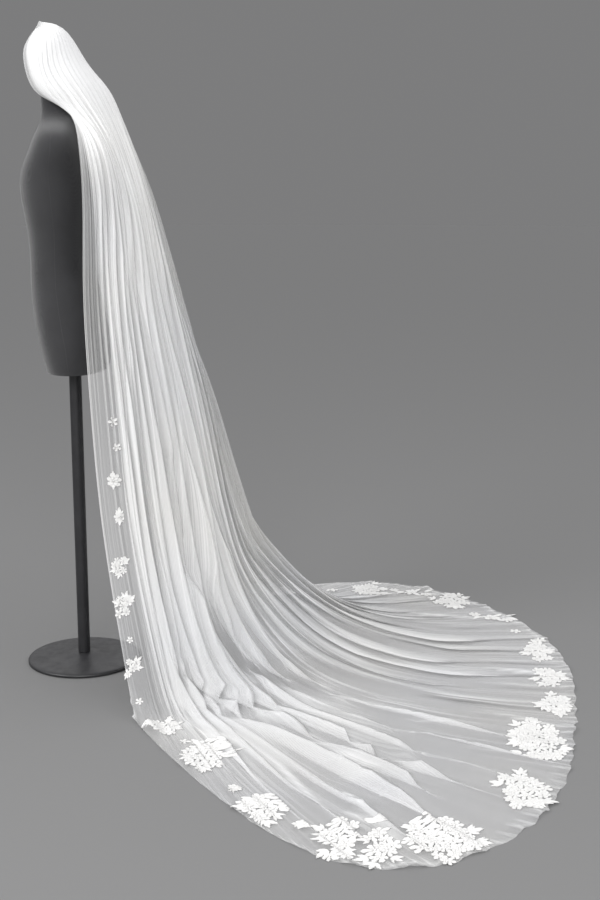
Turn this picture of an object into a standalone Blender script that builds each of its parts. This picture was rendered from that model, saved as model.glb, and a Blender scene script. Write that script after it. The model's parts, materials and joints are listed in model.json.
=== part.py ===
"""Chapel veil with lace along its lower edge, on a limbless dress form with a round stand. Metres, +Z up.

The origin is the centre of the stand's underside. The form faces -X, so the train runs towards +X.
"""

import math

import bmesh
import bpy
import numpy as np
from mathutils import Matrix, Vector

# Sizes that drive the rest
GAP = 0.0003
WALL = 0.001
COLUMNS_PER_FOLD = 4
LACE_THICKNESS = 0.0012
SETTLING_HEIGHT = 0.040
BORDER_CALM = 0.20

POLE_RADIUS = 0.016
BASE_RADIUS = 0.150
BASE_HEIGHT = 0.022
# Half of the base's section, from the top of its hub out and down to its underside
BASE_PROFILE = (
    # radius, height
    (0.000, BASE_HEIGHT), (0.034, BASE_HEIGHT), (0.050, 0.017), (0.110, 0.012), (0.144, 0.010),
    (BASE_RADIUS, 0.006), (BASE_RADIUS, 0.002), (0.148, 0.000), (0.000, 0.000),
)
NECK_TOP = 1.490

HEAD_CENTRE = (-0.036, 0.0, 1.556)
HEAD_HALF_SIZE = (0.055, 0.058, 0.082)

TORSO_SIDES = 12
TORSO_SQUARENESS = 0.88

COMB_CENTRE = (-0.0474, 0.0, 1.6492)
COMB_TILT = math.radians(51.1)
COMB_LENGTH = 0.050
COMB_END = 0.002
COMB_TEETH = 10
COMB_TOOTH_RADIUS = 0.0011
COMB_TOOTH_LENGTH = 0.042
COMB_BAR_RADIUS = 0.0017

# How far a lace cutter reaches, and the patch of cloth that is read under a piece of lace
CUTTER_REACH = 0.030
PATCH_ROWS = 0.05
PATCH_ACROSS = 0.01
PATCH_MARGIN = 0.004
FILL_SCALE = 100.0
HOLE_SIDES = 4
SHARP_ANGLE = math.radians(40)

# The torso from the bottom up: height, front and back of the profile, half of the width
TORSO_SECTIONS = (
    # z, front x, back x, half width
    (0.797, -0.070, 0.088, 0.158),
    (0.803, -0.074, 0.092, 0.163),
    (0.860, -0.086, 0.098, 0.176),
    (0.950, -0.101, 0.082, 0.162),
    (1.020, -0.105, 0.066, 0.136),
    (1.075, -0.103, 0.062, 0.126),
    (1.150, -0.106, 0.072, 0.142),
    (1.226, -0.121, 0.082, 0.164),
    (1.290, -0.123, 0.080, 0.176),
    (1.345, -0.094, 0.068, 0.188),
    (1.388, -0.076, 0.052, 0.172),
    (1.415, -0.066, 0.042, 0.092),
    (1.440, -0.064, 0.032, 0.052),
    (1.470, -0.064, 0.018, 0.045),
    (1.486, -0.063, 0.008, 0.040),
    (NECK_TOP, -0.061, 0.004, 0.037),
)

# Nine lines run down the cloth, from the near front edge round the back to the far one. Each section
# crosses them all: depth is half of a fold's height, lean is how far its crest is pushed along the cloth, and
# border is the width of the flatter strip along the cloth's edge.
SECTIONS = (
    dict(name="comb", depth=0.0011, lean=0.000, border=0.010, line=(
        (-0.050, -0.056, 1.648), (-0.052, -0.043, 1.655), (-0.053, -0.028, 1.657),
        (-0.054, -0.014, 1.657), (-0.054, 0.000, 1.657), (-0.054, 0.014, 1.657),
        (-0.053, 0.028, 1.657), (-0.052, 0.043, 1.655), (-0.050, 0.056, 1.648))),
    dict(name="crown", depth=0.0022, lean=0.0007, border=0.014, line=(
        (-0.086, -0.046, 1.604), (-0.064, -0.066, 1.606), (-0.030, -0.070, 1.617),
        (-0.006, -0.044, 1.635), (0.004, 0.000, 1.638), (-0.006, 0.044, 1.635),
        (-0.030, 0.070, 1.617), (-0.064, 0.066, 1.606), (-0.086, 0.046, 1.604))),
    dict(name="temple", depth=0.0030, lean=0.0014, border=0.016, line=(
        (-0.091, -0.054, 1.560), (-0.062, -0.078, 1.553), (-0.026, -0.080, 1.556),
        (0.018, -0.060, 1.575), (0.052, -0.004, 1.567), (0.022, 0.060, 1.573),
        (-0.026, 0.080, 1.556), (-0.062, 0.078, 1.553), (-0.091, 0.054, 1.560))),
    dict(name="cheek", depth=0.0038, lean=0.0018, border=0.020, line=(
        (-0.064, -0.068, 1.490), (-0.036, -0.086, 1.490), (0.004, -0.090, 1.495),
        (0.056, -0.070, 1.505), (0.099, -0.008, 1.505), (0.080, 0.055, 1.505),
        (0.030, 0.085, 1.500), (-0.020, 0.088, 1.495), (-0.056, 0.072, 1.490))),
    dict(name="neck", depth=0.0050, lean=0.0024, border=0.034, line=(
        (0.012, -0.090, 1.446), (0.030, -0.102, 1.430), (0.058, -0.106, 1.425),
        (0.098, -0.080, 1.430), (0.131, -0.015, 1.435), (0.124, 0.045, 1.430),
        (0.095, 0.090, 1.425), (0.055, 0.108, 1.425), (0.020, 0.100, 1.435))),
    dict(name="shoulder", depth=0.0078, lean=0.0042, border=0.045, line=(
        (0.056, -0.182, 1.365), (0.078, -0.178, 1.350), (0.105, -0.155, 1.345),
        (0.138, -0.105, 1.345), (0.160, -0.025, 1.350), (0.156, 0.055, 1.350),
        (0.133, 0.125, 1.345), (0.100, 0.175, 1.350), (0.066, 0.188, 1.360))),
    dict(name="blade", depth=0.0110, lean=0.0065, border=0.040, line=(
        (0.064, -0.198, 1.250), (0.092, -0.192, 1.240), (0.125, -0.168, 1.235),
        (0.166, -0.118, 1.235), (0.192, -0.035, 1.235), (0.192, 0.060, 1.235),
        (0.168, 0.140, 1.235), (0.130, 0.195, 1.240), (0.090, 0.215, 1.250))),
    dict(name="waist", depth=0.0140, lean=0.0085, border=0.085, line=(
        (0.060, -0.200, 1.050), (0.095, -0.200, 1.045), (0.138, -0.185, 1.040),
        (0.190, -0.138, 1.040), (0.234, -0.045, 1.040), (0.240, 0.070, 1.040),
        (0.212, 0.165, 1.040), (0.170, 0.230, 1.045), (0.125, 0.255, 1.050))),
    dict(name="hip", depth=0.0165, lean=0.012, border=0.130, line=(
        (0.068, -0.205, 0.740), (0.112, -0.210, 0.730), (0.168, -0.200, 0.720),
        (0.240, -0.155, 0.715), (0.306, -0.055, 0.710), (0.332, 0.075, 0.710),
        (0.312, 0.185, 0.710), (0.275, 0.265, 0.710), (0.228, 0.300, 0.710))),
    dict(name="knee", depth=0.0180, lean=0.014, border=0.140, line=(
        (0.102, -0.252, 0.380), (0.152, -0.264, 0.370), (0.215, -0.258, 0.360),
        (0.300, -0.212, 0.355), (0.378, -0.105, 0.360), (0.416, 0.050, 0.375),
        (0.418, 0.190, 0.380), (0.395, 0.300, 0.370), (0.335, 0.345, 0.380))),
    dict(name="calf", depth=0.0165, lean=0.016, border=0.150, line=(
        (0.143, -0.325, 0.170), (0.200, -0.340, 0.155), (0.268, -0.330, 0.140),
        (0.360, -0.278, 0.150), (0.450, -0.140, 0.190), (0.495, 0.045, 0.235),
        (0.505, 0.205, 0.240), (0.470, 0.340, 0.200), (0.410, 0.420, 0.150))),
    dict(name="touchdown", depth=0.0110, lean=0.022, border=0.320, line=(
        (0.166, -0.375, 0.075), (0.245, -0.412, 0.012), (0.335, -0.420, 0.000),
        (0.470, -0.360, 0.010), (0.590, -0.190, 0.040), (0.660, 0.040, 0.080),
        (0.670, 0.270, 0.085), (0.590, 0.440, 0.055), (0.480, 0.540, 0.015))),
    dict(name="train", depth=0.0085, lean=0.030, border=0.320, line=(
        (0.179, -0.405, 0.030), (0.320, -0.610, 0.000), (0.520, -0.790, 0.000),
        (0.750, -0.670, 0.000), (0.890, -0.375, 0.000), (0.960, -0.030, 0.003),
        (0.925, 0.310, 0.005), (0.745, 0.560, 0.003), (0.505, 0.600, 0.000))),
    dict(name="hem", depth=0.0200, lean=0.010, border=0.220, line=(
        (0.188, -0.430, 0.000), (0.395, -0.810, 0.000), (0.720, -1.135, 0.000),
        (1.075, -0.930, 0.000), (1.235, -0.490, 0.000), (1.300, -0.070, 0.000),
        (1.215, 0.335, 0.000), (0.915, 0.670, 0.000), (0.525, 0.645, 0.000))),
)

# Rows of the wall, counted in sections from the comb
ROWS = (0, 0.5, 1, 1.5, 2, 3, 4, 5, 6, 7, 8, 9, 10, 10.5, 11, 11.5, 12, 12.5, 13)

# One row for each fold, from the near edge round to the far one: its share of the width, of the section's
# depth and of the section's lean
FOLDS = (
    # width, depth, lean
    (3.4, 0.25, 0.0), (1.0, 0.80, 0.9), (0.8, 1.10, 1.1), (1.1, 0.70, 0.8),
    (0.9, 1.20, 1.2), (1.2, 0.90, 1.0), (0.8, 0.60, 0.7), (1.0, 1.25, 1.2),
    (1.1, 0.95, 1.1), (0.7, 0.75, 0.8), (1.2, 1.15, 0.9), (0.9, 0.85, 0.6),
    (1.1, 1.05, 0.3), (0.9, 0.70, -0.2), (1.0, 1.20, -0.6), (1.2, 0.90, -0.9),
    (0.8, 0.65, -1.0), (1.0, 1.10, -1.1), (1.1, 0.80, -0.8), (0.9, 1.20, -1.2),
    (1.2, 0.95, -1.0), (0.8, 0.70, -0.9), (1.0, 1.15, -1.2), (1.1, 0.90, -0.9),
    (0.9, 1.10, -1.1), (1.0, 0.75, -0.8), (0.9, 0.80, -0.7), (2.4, 0.30, 0.0),
)

# Lace shapes inside a circle of radius 1: the core's radius, the lobes that stand out of it for petals and
# leaves, the small holes between them, and how many points the outline has
MOTIFS = dict(
    bud=dict(points=9, core=0.62, holes=(), lobes=(
        # angle, reach, width in degrees
        (90, 1.0, 40), (215, 0.95, 35), (325, 0.95, 35))),
    flower=dict(points=15, core=0.66, holes=(), lobes=(
        (90, 1.0, 26), (162, 1.0, 26), (234, 1.0, 26), (306, 1.0, 26), (18, 1.0, 26))),
    leaf_spray=dict(points=22, core=0.30, holes=(), lobes=(
        (0, 1.0, 15), (180, 1.0, 15), (48, 0.85, 15), (135, 0.9, 15), (228, 0.8, 15), (312, 0.9, 15))),
    rose=dict(points=18, core=0.62, holes=((0.38, 0.28, 0.10),), lobes=(
        (8, 0.95, 14), (52, 0.88, 16), (95, 1.0, 12), (140, 0.90, 16), (185, 1.0, 12), (228, 0.86, 14),
        (272, 0.98, 13), (320, 0.92, 16))),
    rose_and_leaves=dict(points=24, core=0.52, holes=((0.30, -0.30, 0.08), (-0.34, 0.30, 0.08)), lobes=(
        (0, 1.0, 10), (32, 0.80, 12), (62, 0.98, 9), (92, 0.76, 12), (122, 0.95, 10), (156, 0.82, 12),
        (184, 1.0, 9), (214, 0.78, 12), (243, 0.96, 10), (275, 0.80, 12), (303, 1.0, 9), (333, 0.84, 11))),
)

# One row for each piece of lace. Section is its place down the cloth, counted as for ROWS; across runs from
# the near edge at 0 to the far edge at 1; width and height are its real size, and turn is in degrees.
APPLIQUES = (
    # name, motif, section, across, width, height, turn
    ("lace_near_1", "bud", 8.10, 0.150, 0.024, 0.024, 0),
    ("lace_near_2", "bud", 8.28, 0.158, 0.021, 0.021, 40),
    ("lace_near_3", "flower", 8.52, 0.120, 0.036, 0.048, 0),
    ("lace_near_4", "flower", 8.76, 0.125, 0.026, 0.048, 0),
    ("lace_near_5", "rose", 9.14, 0.083, 0.040, 0.058, 0),
    ("lace_near_6", "rose", 9.58, 0.062, 0.050, 0.068, 0),
    ("lace_near_7", "bud", 9.96, 0.060, 0.015, 0.019, 0),
    ("lace_near_8", "rose", 10.40, 0.040, 0.038, 0.062, 0),
    ("lace_near_9", "bud", 11.22, 0.035, 0.018, 0.020, 0),
    ("lace_hem_01", "rose", 11.40, 0.112, 0.080, 0.085, 0),
    ("lace_hem_02", "bud", 11.60, 0.150, 0.018, 0.028, 0),
    ("lace_hem_03", "rose_and_leaves", 11.72, 0.186, 0.108, 0.170, 0),
    ("lace_hem_04", "flower", 12.26, 0.185, 0.030, 0.048, 0),
    ("lace_hem_05", "rose_and_leaves", 12.44, 0.205, 0.098, 0.135, 0),
    ("lace_hem_06", "flower", 12.52, 0.233, 0.030, 0.048, 0),
    ("lace_hem_07", "rose_and_leaves", 12.64, 0.253, 0.086, 0.195, 0),
    ("lace_hem_08", "rose_and_leaves", 12.74, 0.275, 0.072, 0.195, 0),
    ("lace_hem_09", "rose_and_leaves", 12.78, 0.318, 0.165, 0.195, 0),
    ("lace_hem_10", "rose_and_leaves", 12.80, 0.400, 0.125, 0.200, 0),
    ("lace_hem_11", "rose_and_leaves", 12.76, 0.478, 0.135, 0.260, 0),
    ("lace_hem_12", "rose_and_leaves", 12.86, 0.543, 0.094, 0.160, 0),
    ("lace_hem_13", "rose", 12.84, 0.600, 0.088, 0.150, 0),
    ("lace_hem_14", "rose", 12.84, 0.667, 0.089, 0.190, 0),
    ("lace_hem_15", "bud", 12.82, 0.715, 0.022, 0.044, 0),
    ("lace_hem_16", "leaf_spray", 12.80, 0.753, 0.112, 0.130, 0),
    ("lace_hem_17", "rose_and_leaves", 12.80, 0.808, 0.125, 0.150, 0),
    ("lace_hem_18", "leaf_spray", 12.66, 0.845, 0.116, 0.110, 0),
    ("lace_hem_19", "rose", 12.45, 0.882, 0.110, 0.150, 0),
    ("lace_far_1", "bud", 12.10, 0.915, 0.024, 0.040, 0),
    ("lace_far_2", "leaf_spray", 11.75, 0.945, 0.085, 0.080, 0),
    ("lace_far_3", "bud", 11.30, 0.960, 0.022, 0.030, 0),
    ("lace_far_4", "rose", 10.48, 0.960, 0.046, 0.060, 0),
    ("lace_far_5", "flower", 9.24, 0.955, 0.030, 0.032, 0),
    ("lace_far_6", "bud", 8.84, 0.955, 0.024, 0.024, 0),
    ("lace_far_7", "bud", 8.30, 0.955, 0.024, 0.024, 0),
    ("lace_far_8", "bud", 8.10, 0.955, 0.020, 0.020, 0),
)


def spline(knots, values, at):
    """Natural cubic spline through values at the knots, read at other places along the first axis."""
    knots = np.asarray(knots, float)
    values = np.asarray(values, float)
    flat = values.reshape(len(knots), -1)
    step = np.diff(knots)
    system = np.eye(len(knots))
    bend = np.zeros_like(flat)
    for i in range(1, len(knots) - 1):
        system[i, i - 1:i + 2] = step[i - 1], 2 * (step[i - 1] + step[i]), step[i]
        bend[i] = 6 * ((flat[i + 1] - flat[i]) / step[i] - (flat[i] - flat[i - 1]) / step[i - 1])
    bend = np.linalg.solve(system, bend)
    cell = np.clip(np.searchsorted(knots, at, side="right") - 1, 0, len(step) - 1)
    width = step[cell][:, None]
    right = (np.asarray(at)[:, None] - knots[cell][:, None]) / width
    left = 1 - right
    curve = left * flat[cell] + right * flat[cell + 1]
    curve += ((left**3 - left) * bend[cell] + (right**3 - right) * bend[cell + 1]) * width**2 / 6
    return curve.reshape((len(right),) + values.shape[1:])


def unit(vectors):
    return vectors / np.maximum(np.linalg.norm(vectors, axis=-1, keepdims=True), 1e-9)


def tangents(points, axis):
    """Directions of a grid's lines at its points, half-way between those of the two edges that meet there."""
    edges = np.moveaxis(unit(np.diff(points, axis=axis)), axis, 0)
    before = np.concatenate([edges[:1], edges])
    after = np.concatenate([edges, edges[-1:]])
    return np.moveaxis(unit(before + after), 0, axis)


def surface_normals(points):
    """Normals of a grid of points, away from the form and up on the floor."""
    return unit(np.cross(tangents(points, 0), tangents(points, 1)))


def smooth_cloth(rows, across):
    """The cloth's middle surface without folds: rows counted in sections, across from 0 to 1."""
    lines = np.array([section["line"] for section in SECTIONS])
    steps = np.linalg.norm(np.diff(lines, axis=0), axis=2).mean(axis=1)
    down = np.concatenate([[0.0], np.cumsum(steps)])
    heights = np.interp(rows, np.arange(len(down)), down)
    lines = spline(down, lines, heights)
    grid = spline(np.linspace(0, 1, lines.shape[1]), np.swapaxes(lines, 0, 1), across)
    grid = np.swapaxes(grid, 0, 1)
    grid[..., 2] = np.maximum(grid[..., 2], 0)
    return grid


def section_value(key, rows):
    values = [section[key] for section in SECTIONS]
    return np.interp(rows, np.arange(len(values)), values)


def fold_columns(per_fold):
    """Each column's place across the cloth, its height on its fold's wave, and its fold's depth and lean."""
    widths, depths, leans = np.array(FOLDS).T
    starts = np.concatenate([[0.0], np.cumsum(widths)]) / widths.sum()
    fold = np.arange(len(FOLDS) * per_fold + 1) / per_fold
    index = np.minimum(fold.astype(int), len(FOLDS) - 1)
    place = np.interp(fold, np.arange(len(starts)), starts)
    # The wave's valleys lie on the fold lines and its crests half-way between them.
    wave = -np.cos(2 * math.pi * fold)
    middle = np.arange(len(FOLDS)) + 0.5
    rest = np.interp(fold, middle, depths), np.interp(fold, middle, leans)
    crest = wave > 0
    return place, wave, np.where(crest, depths[index], rest[0]), np.where(crest, leans[index], rest[1])


def border_calm(grid, rows):
    """How much of its fold each point of the unfolded cloth keeps: less near the side edges and the hem."""
    rim = np.concatenate([grid[:, 0], grid[-1], grid[:, -1]])
    away = np.array([np.linalg.norm(line[:, None] - rim, axis=2).min(axis=1) for line in grid])
    border = np.maximum(section_value("border", rows), 1e-6)[:, None]
    return BORDER_CALM + (1 - BORDER_CALM) * np.clip(away / border, 0, 1) ** 2


def folded_cloth(rows, per_fold):
    """The cloth's middle surface with its folds."""
    rows = np.asarray(rows, float)
    place, wave, depth, lean = fold_columns(per_fold)
    grid = smooth_cloth(rows, place)
    out = surface_normals(grid)
    across = unit(np.gradient(grid, axis=1))
    rest = np.clip(1 - grid[..., 2] / SETTLING_HEIGHT, 0, 1)
    low = np.where(wave < 0, wave * (1 - rest), wave) * border_calm(grid, rows)
    grid = grid + out * (low * depth * section_value("depth", rows)[:, None])[..., None]
    grid += across * (low * lean * section_value("lean", rows)[:, None])[..., None]
    return grid


def wall_of(middle):
    """The two sides of the wall round a middle surface that is kept just above the floor."""
    middle[..., 2] = np.maximum(middle[..., 2], WALL / 2)
    offset = surface_normals(middle) * WALL / 2
    return middle - offset, middle + offset


def closed_grid(name, inner, outer):
    """A closed wall of triangles between two grids of points."""
    rows, columns = inner.shape[:2]
    points = np.concatenate([inner.reshape(-1, 3), outer.reshape(-1, 3)])
    index = np.arange(rows * columns).reshape(rows, columns)
    corners = [index[:-1, :-1], index[1:, :-1], index[1:, 1:], index[:-1, 1:]]
    cells = np.stack(corners, axis=-1).reshape(-1, 4)
    rim = np.concatenate([index[0], index[1:, -1], index[-1, -2::-1], index[-2:0:-1, 0]])
    after = np.roll(rim, -1)
    far = rows * columns
    sides = np.stack([rim + far, after + far, after, rim], axis=-1)
    quads = np.concatenate([cells[:, [0, 3, 2, 1]], cells + far, sides])
    # Each side has the same diagonals, so what lies on the wall can follow it exactly.
    triangles = np.concatenate([quads[:, [0, 1, 2]], quads[:, [0, 2, 3]]])
    mesh = bpy.data.meshes.new(name)
    mesh.from_pydata(points.tolist(), [], triangles.tolist())
    mesh.update()
    return mesh


def material(name, colour, roughness, metallic=0.0):
    made = bpy.data.materials.new(name)
    made.diffuse_color = (*colour, 1.0)
    made.use_nodes = True
    shader = made.node_tree.nodes["Principled BSDF"]
    shader.inputs["Base Color"].default_value = (*colour, 1.0)
    shader.inputs["Roughness"].default_value = roughness
    shader.inputs["Metallic"].default_value = metallic
    return made


def add_part(name, mesh, finish, smooth=True):
    """A named object of the model, with its material."""
    obj = bpy.data.objects.new(name, mesh)
    mesh.materials.clear()
    mesh.materials.append(finish)
    if smooth:
        mesh.shade_smooth()
        mesh.set_sharp_from_angle(angle=SHARP_ANGLE)
    PARTS.objects.link(obj)
    return obj


def add_cutter(name, mesh):
    obj = bpy.data.objects.new(name, mesh)
    obj.hide_render = True
    obj.display_type = "WIRE"
    CUTTERS.objects.link(obj)
    return obj


def flat_outline(name, loops, thickness):
    """A mesh plate from closed loops of points in its own XY plane; a loop inside another is a hole.

    The curve is filled at a larger scale, because the fill drops very small steps.
    """
    curve = bpy.data.curves.new(name, "CURVE")
    curve.dimensions = "2D"
    curve.fill_mode = "BOTH"
    curve.extrude = thickness / 2 * FILL_SCALE
    for loop in loops:
        line = curve.splines.new("POLY")
        line.points.add(len(loop) - 1)
        for point, (x, y) in zip(line.points, loop):
            point.co = (x * FILL_SCALE, y * FILL_SCALE, 0, 1)
        line.use_cyclic_u = True
    holder = bpy.data.objects.new(name, curve)
    CUTTERS.objects.link(holder)
    bpy.context.view_layer.update()
    mesh = bpy.data.meshes.new_from_object(holder.evaluated_get(bpy.context.evaluated_depsgraph_get()))
    bpy.data.objects.remove(holder)
    plate = bmesh.new()
    plate.from_mesh(mesh)
    bmesh.ops.scale(plate, vec=(1 / FILL_SCALE,) * 3, verts=plate.verts[:])
    bmesh.ops.remove_doubles(plate, verts=plate.verts[:], dist=0.00001)
    bmesh.ops.recalc_face_normals(plate, faces=plate.faces[:])
    plate.to_mesh(mesh)
    plate.free()
    mesh.name = name
    return mesh


def frame_matrix(origin, x_axis, z_axis):
    """A placing matrix from an origin, a z axis, and an x axis that is squared to it."""
    z_axis = Vector(z_axis).normalized()
    x_axis = Vector(x_axis)
    x_axis = (x_axis - x_axis.dot(z_axis) * z_axis).normalized()
    turned = Matrix((x_axis, z_axis.cross(x_axis), z_axis)).transposed()
    return Matrix.Translation(Vector(origin)) @ turned.to_4x4()


def boolean(obj, other, operation):
    cut = obj.modifiers.new(operation.title(), "BOOLEAN")
    cut.operation = operation
    cut.solver = "EXACT"
    cut.object = other


def torso_ring(height, front, back, half_width):
    """Points of one level of the torso, squarer than an ellipse."""
    ring = []
    for step in range(TORSO_SIDES):
        angle = 2 * math.pi * step / TORSO_SIDES
        c, s = math.cos(angle), math.sin(angle)
        x = math.copysign(abs(c) ** TORSO_SQUARENESS, c)
        y = math.copysign(abs(s) ** TORSO_SQUARENESS, s)
        ring.append(((front + back) / 2 + x * (back - front) / 2, y * half_width, height))
    return ring


def build_torso(finish):
    rings = [torso_ring(*section) for section in TORSO_SECTIONS]
    points = [point for ring in rings for point in ring]
    faces = []
    for level in range(len(rings) - 1):
        for step in range(TORSO_SIDES):
            low = level * TORSO_SIDES
            after = (step + 1) % TORSO_SIDES
            faces.append((low + step, low + after, low + TORSO_SIDES + after, low + TORSO_SIDES + step))
    faces.append(tuple(reversed(range(TORSO_SIDES))))
    faces.append(tuple(range(len(points) - TORSO_SIDES, len(points))))
    mesh = bpy.data.meshes.new("form_torso")
    mesh.from_pydata(points, [], faces)
    mesh.update()
    crease = mesh.attributes.new("crease_edge", "FLOAT", "EDGE")
    last = len(points) - TORSO_SIDES
    for edge in mesh.edges:
        ends = edge.vertices
        if max(ends) < TORSO_SIDES or min(ends) >= last:
            crease.data[edge.index].value = 1.0
    torso = add_part("form_torso", mesh, finish)
    smooth = torso.modifiers.new("Smooth", "SUBSURF")
    smooth.levels = 1
    smooth.render_levels = 1


def build_head(finish):
    egg = bmesh.new()
    bmesh.ops.create_uvsphere(egg, u_segments=20, v_segments=12, radius=1.0)
    bmesh.ops.scale(egg, vec=HEAD_HALF_SIZE, verts=egg.verts[:])
    bmesh.ops.translate(egg, vec=HEAD_CENTRE, verts=egg.verts[:])
    seat = NECK_TOP + GAP
    whole = egg.verts[:] + egg.edges[:] + egg.faces[:]
    bmesh.ops.bisect_plane(egg, geom=whole, plane_co=(0, 0, seat), plane_no=(0, 0, 1), clear_inner=True)
    bmesh.ops.holes_fill(egg, edges=[edge for edge in egg.edges if edge.is_boundary])
    bmesh.ops.recalc_face_normals(egg, faces=egg.faces[:])
    mesh = bpy.data.meshes.new("form_head")
    egg.to_mesh(mesh)
    egg.free()
    add_part("form_head", mesh, finish)


def build_stand(finish):
    profile = bpy.data.meshes.new("stand_base")
    corners = [(x, 0, z) for x, z in BASE_PROFILE]
    profile.from_pydata(corners, [(i, i + 1) for i in range(len(corners) - 1)], [])
    base = add_part("stand_base", profile, finish, smooth=False)
    turn = base.modifiers.new("Turn", "SCREW")
    turn.steps = 36
    turn.render_steps = 36
    turn.use_merge_vertices = True
    turn.merge_threshold = 0.0001
    turn.use_smooth_shade = True

    pole = bmesh.new()
    length = TORSO_SECTIONS[0][0] - GAP - (BASE_HEIGHT + GAP)
    centre = Matrix.Translation((0, 0, BASE_HEIGHT + GAP + length / 2))
    bmesh.ops.create_cone(pole, cap_ends=True, segments=24, radius1=POLE_RADIUS, radius2=POLE_RADIUS,
                          depth=length, matrix=centre)
    mesh = bpy.data.meshes.new("stand_pole")
    pole.to_mesh(mesh)
    pole.free()
    add_part("stand_pole", mesh, finish)


def build_comb(finish):
    """A plain hair comb: a round bar with thin teeth that lie against the front of the head."""
    front = (-math.sin(COMB_TILT), 0, math.cos(COMB_TILT))
    place = frame_matrix(COMB_CENTRE, (0, -1, 0), front)
    bar = bmesh.new()
    bmesh.ops.create_cone(bar, cap_ends=True, segments=10, radius1=COMB_BAR_RADIUS, radius2=COMB_BAR_RADIUS,
                          depth=COMB_LENGTH + 2 * COMB_END, matrix=Matrix.Rotation(math.pi / 2, 4, "Y"))
    mesh = bpy.data.meshes.new("veil_comb")
    bar.to_mesh(mesh)
    bar.free()
    comb = add_part("veil_comb", mesh, finish)
    comb.matrix_world = place

    teeth = bmesh.new()
    for tooth in range(COMB_TEETH):
        x = COMB_LENGTH * (tooth / (COMB_TEETH - 1) - 0.5)
        down = Matrix.Translation((x, -COMB_TOOTH_LENGTH / 2, 0)) @ Matrix.Rotation(math.pi / 2, 4, "X")
        bmesh.ops.create_cone(teeth, cap_ends=True, segments=6, radius1=COMB_TOOTH_RADIUS,
                              radius2=COMB_TOOTH_RADIUS / 2, depth=COMB_TOOTH_LENGTH, matrix=down)
    mesh = bpy.data.meshes.new("comb_teeth")
    teeth.to_mesh(mesh)
    teeth.free()
    cutter = add_cutter("comb_teeth", mesh)
    cutter.matrix_world = place
    boolean(comb, cutter, "UNION")


def motif_loops(motif, size_x, size_y):
    """A motif's outline and holes: a round core with a lobe for each petal or leaf."""
    shape = MOTIFS[motif]
    loops = []
    outline = []
    for step in range(shape["points"]):
        angle = 360.0 * step / shape["points"]
        reach = shape["core"]
        for lobe_angle, lobe_reach, lobe_width in shape["lobes"]:
            apart = (angle - lobe_angle + 180) % 360 - 180
            lobe = (lobe_reach - shape["core"]) * math.exp(-(apart / lobe_width) ** 2)
            reach = max(reach, shape["core"] + lobe)
        outline.append((reach, math.radians(angle)))
    loops.append([(r * math.cos(a), r * math.sin(a)) for r, a in outline])
    for x, y, radius in shape["holes"]:
        ring = [2 * math.pi * step / HOLE_SIDES for step in range(HOLE_SIDES)]
        loops.append([(x + radius * math.cos(a), y + radius * math.sin(a)) for a in ring])
    return [[(x * size_x / 2, y * size_y / 2) for x, y in loop] for loop in loops]


def build_applique(name, motif, row, across, size_x, size_y, turn, finish):
    """One piece of lace: a slab of the cloth's outer points moved out, cut to the motif's outline."""
    beside = np.array((-1, 0, 1))
    patch = smooth_cloth(row + beside * PATCH_ROWS, across + beside * PATCH_ACROSS)
    centre = patch[1, 1]
    reach = max(size_x, size_y) / 2 + PATCH_MARGIN
    close = np.linalg.norm(SMOOTH - centre, axis=2) < reach
    rows = np.append(np.flatnonzero(close.any(axis=1)), np.searchsorted(ROWS, row) + [-1, 0])
    columns = np.append(np.flatnonzero(close.any(axis=0)), np.searchsorted(PLACES, across) + [-1, 0])
    down = slice(max(rows.min() - 1, 0), rows.max() + 2)
    window = (down, slice(max(columns.min() - 1, 0), columns.max() + 2))
    bottom = OUTER[window] + OUTER_NORMALS[window] * GAP
    top = bottom + OUTER_NORMALS[window] * LACE_THICKNESS
    lace = add_part(name, closed_grid(name, bottom, top), finish, smooth=False)
    outline = flat_outline(name + "_outline", motif_loops(motif, size_x, size_y), 2 * CUTTER_REACH)
    cutter = add_cutter(name + "_outline", outline)
    normal = surface_normals(patch)[1, 1]
    turned = Matrix.Rotation(math.radians(turn), 4, "Z")
    cutter.matrix_world = frame_matrix(centre, (1, 0, 0), normal) @ turned
    boolean(lace, cutter, "INTERSECT")


for old in list(bpy.data.objects):
    bpy.data.objects.remove(old)
PARTS = bpy.data.collections.new("chapel_veil")
CUTTERS = bpy.data.collections.new("cutters")
bpy.context.scene.collection.children.link(PARTS)
bpy.context.scene.collection.children.link(CUTTERS)

PLACES = fold_columns(COLUMNS_PER_FOLD)[0]
SMOOTH = smooth_cloth(ROWS, PLACES)
INNER, OUTER = wall_of(folded_cloth(ROWS, COLUMNS_PER_FOLD))
OUTER_NORMALS = surface_normals(OUTER)

JERSEY = material("charcoal_jersey", (0.040, 0.040, 0.043), 0.90)
STEEL = material("black_steel", (0.020, 0.020, 0.022), 0.35, 0.6)
PLASTIC = material("clear_comb", (0.62, 0.54, 0.48), 0.35)
TULLE = material("ivory_tulle", (0.86, 0.85, 0.83), 0.80)
LACE = material("ivory_lace", (0.90, 0.89, 0.87), 0.85)

build_stand(STEEL)
build_torso(JERSEY)
build_head(JERSEY)
build_comb(PLASTIC)
add_part("veil_panel", closed_grid("veil_panel", INNER, OUTER), TULLE)
for applique in APPLIQUES:
    build_applique(*applique, LACE)
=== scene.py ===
"""A chapel-length tulle veil with corded lace along its edge, over the head of a dark dress form on a stand.

Metres, +Z up. The origin is the centre of the stand's underside, the form faces -X and the train runs to +X.
"""

import json
import math

import bmesh
import bpy
import numpy as np
from bpy.props import FloatProperty, FloatVectorProperty, IntProperty, PointerProperty
from mathutils import Matrix, Vector
from mathutils.bvhtree import BVHTree

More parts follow.
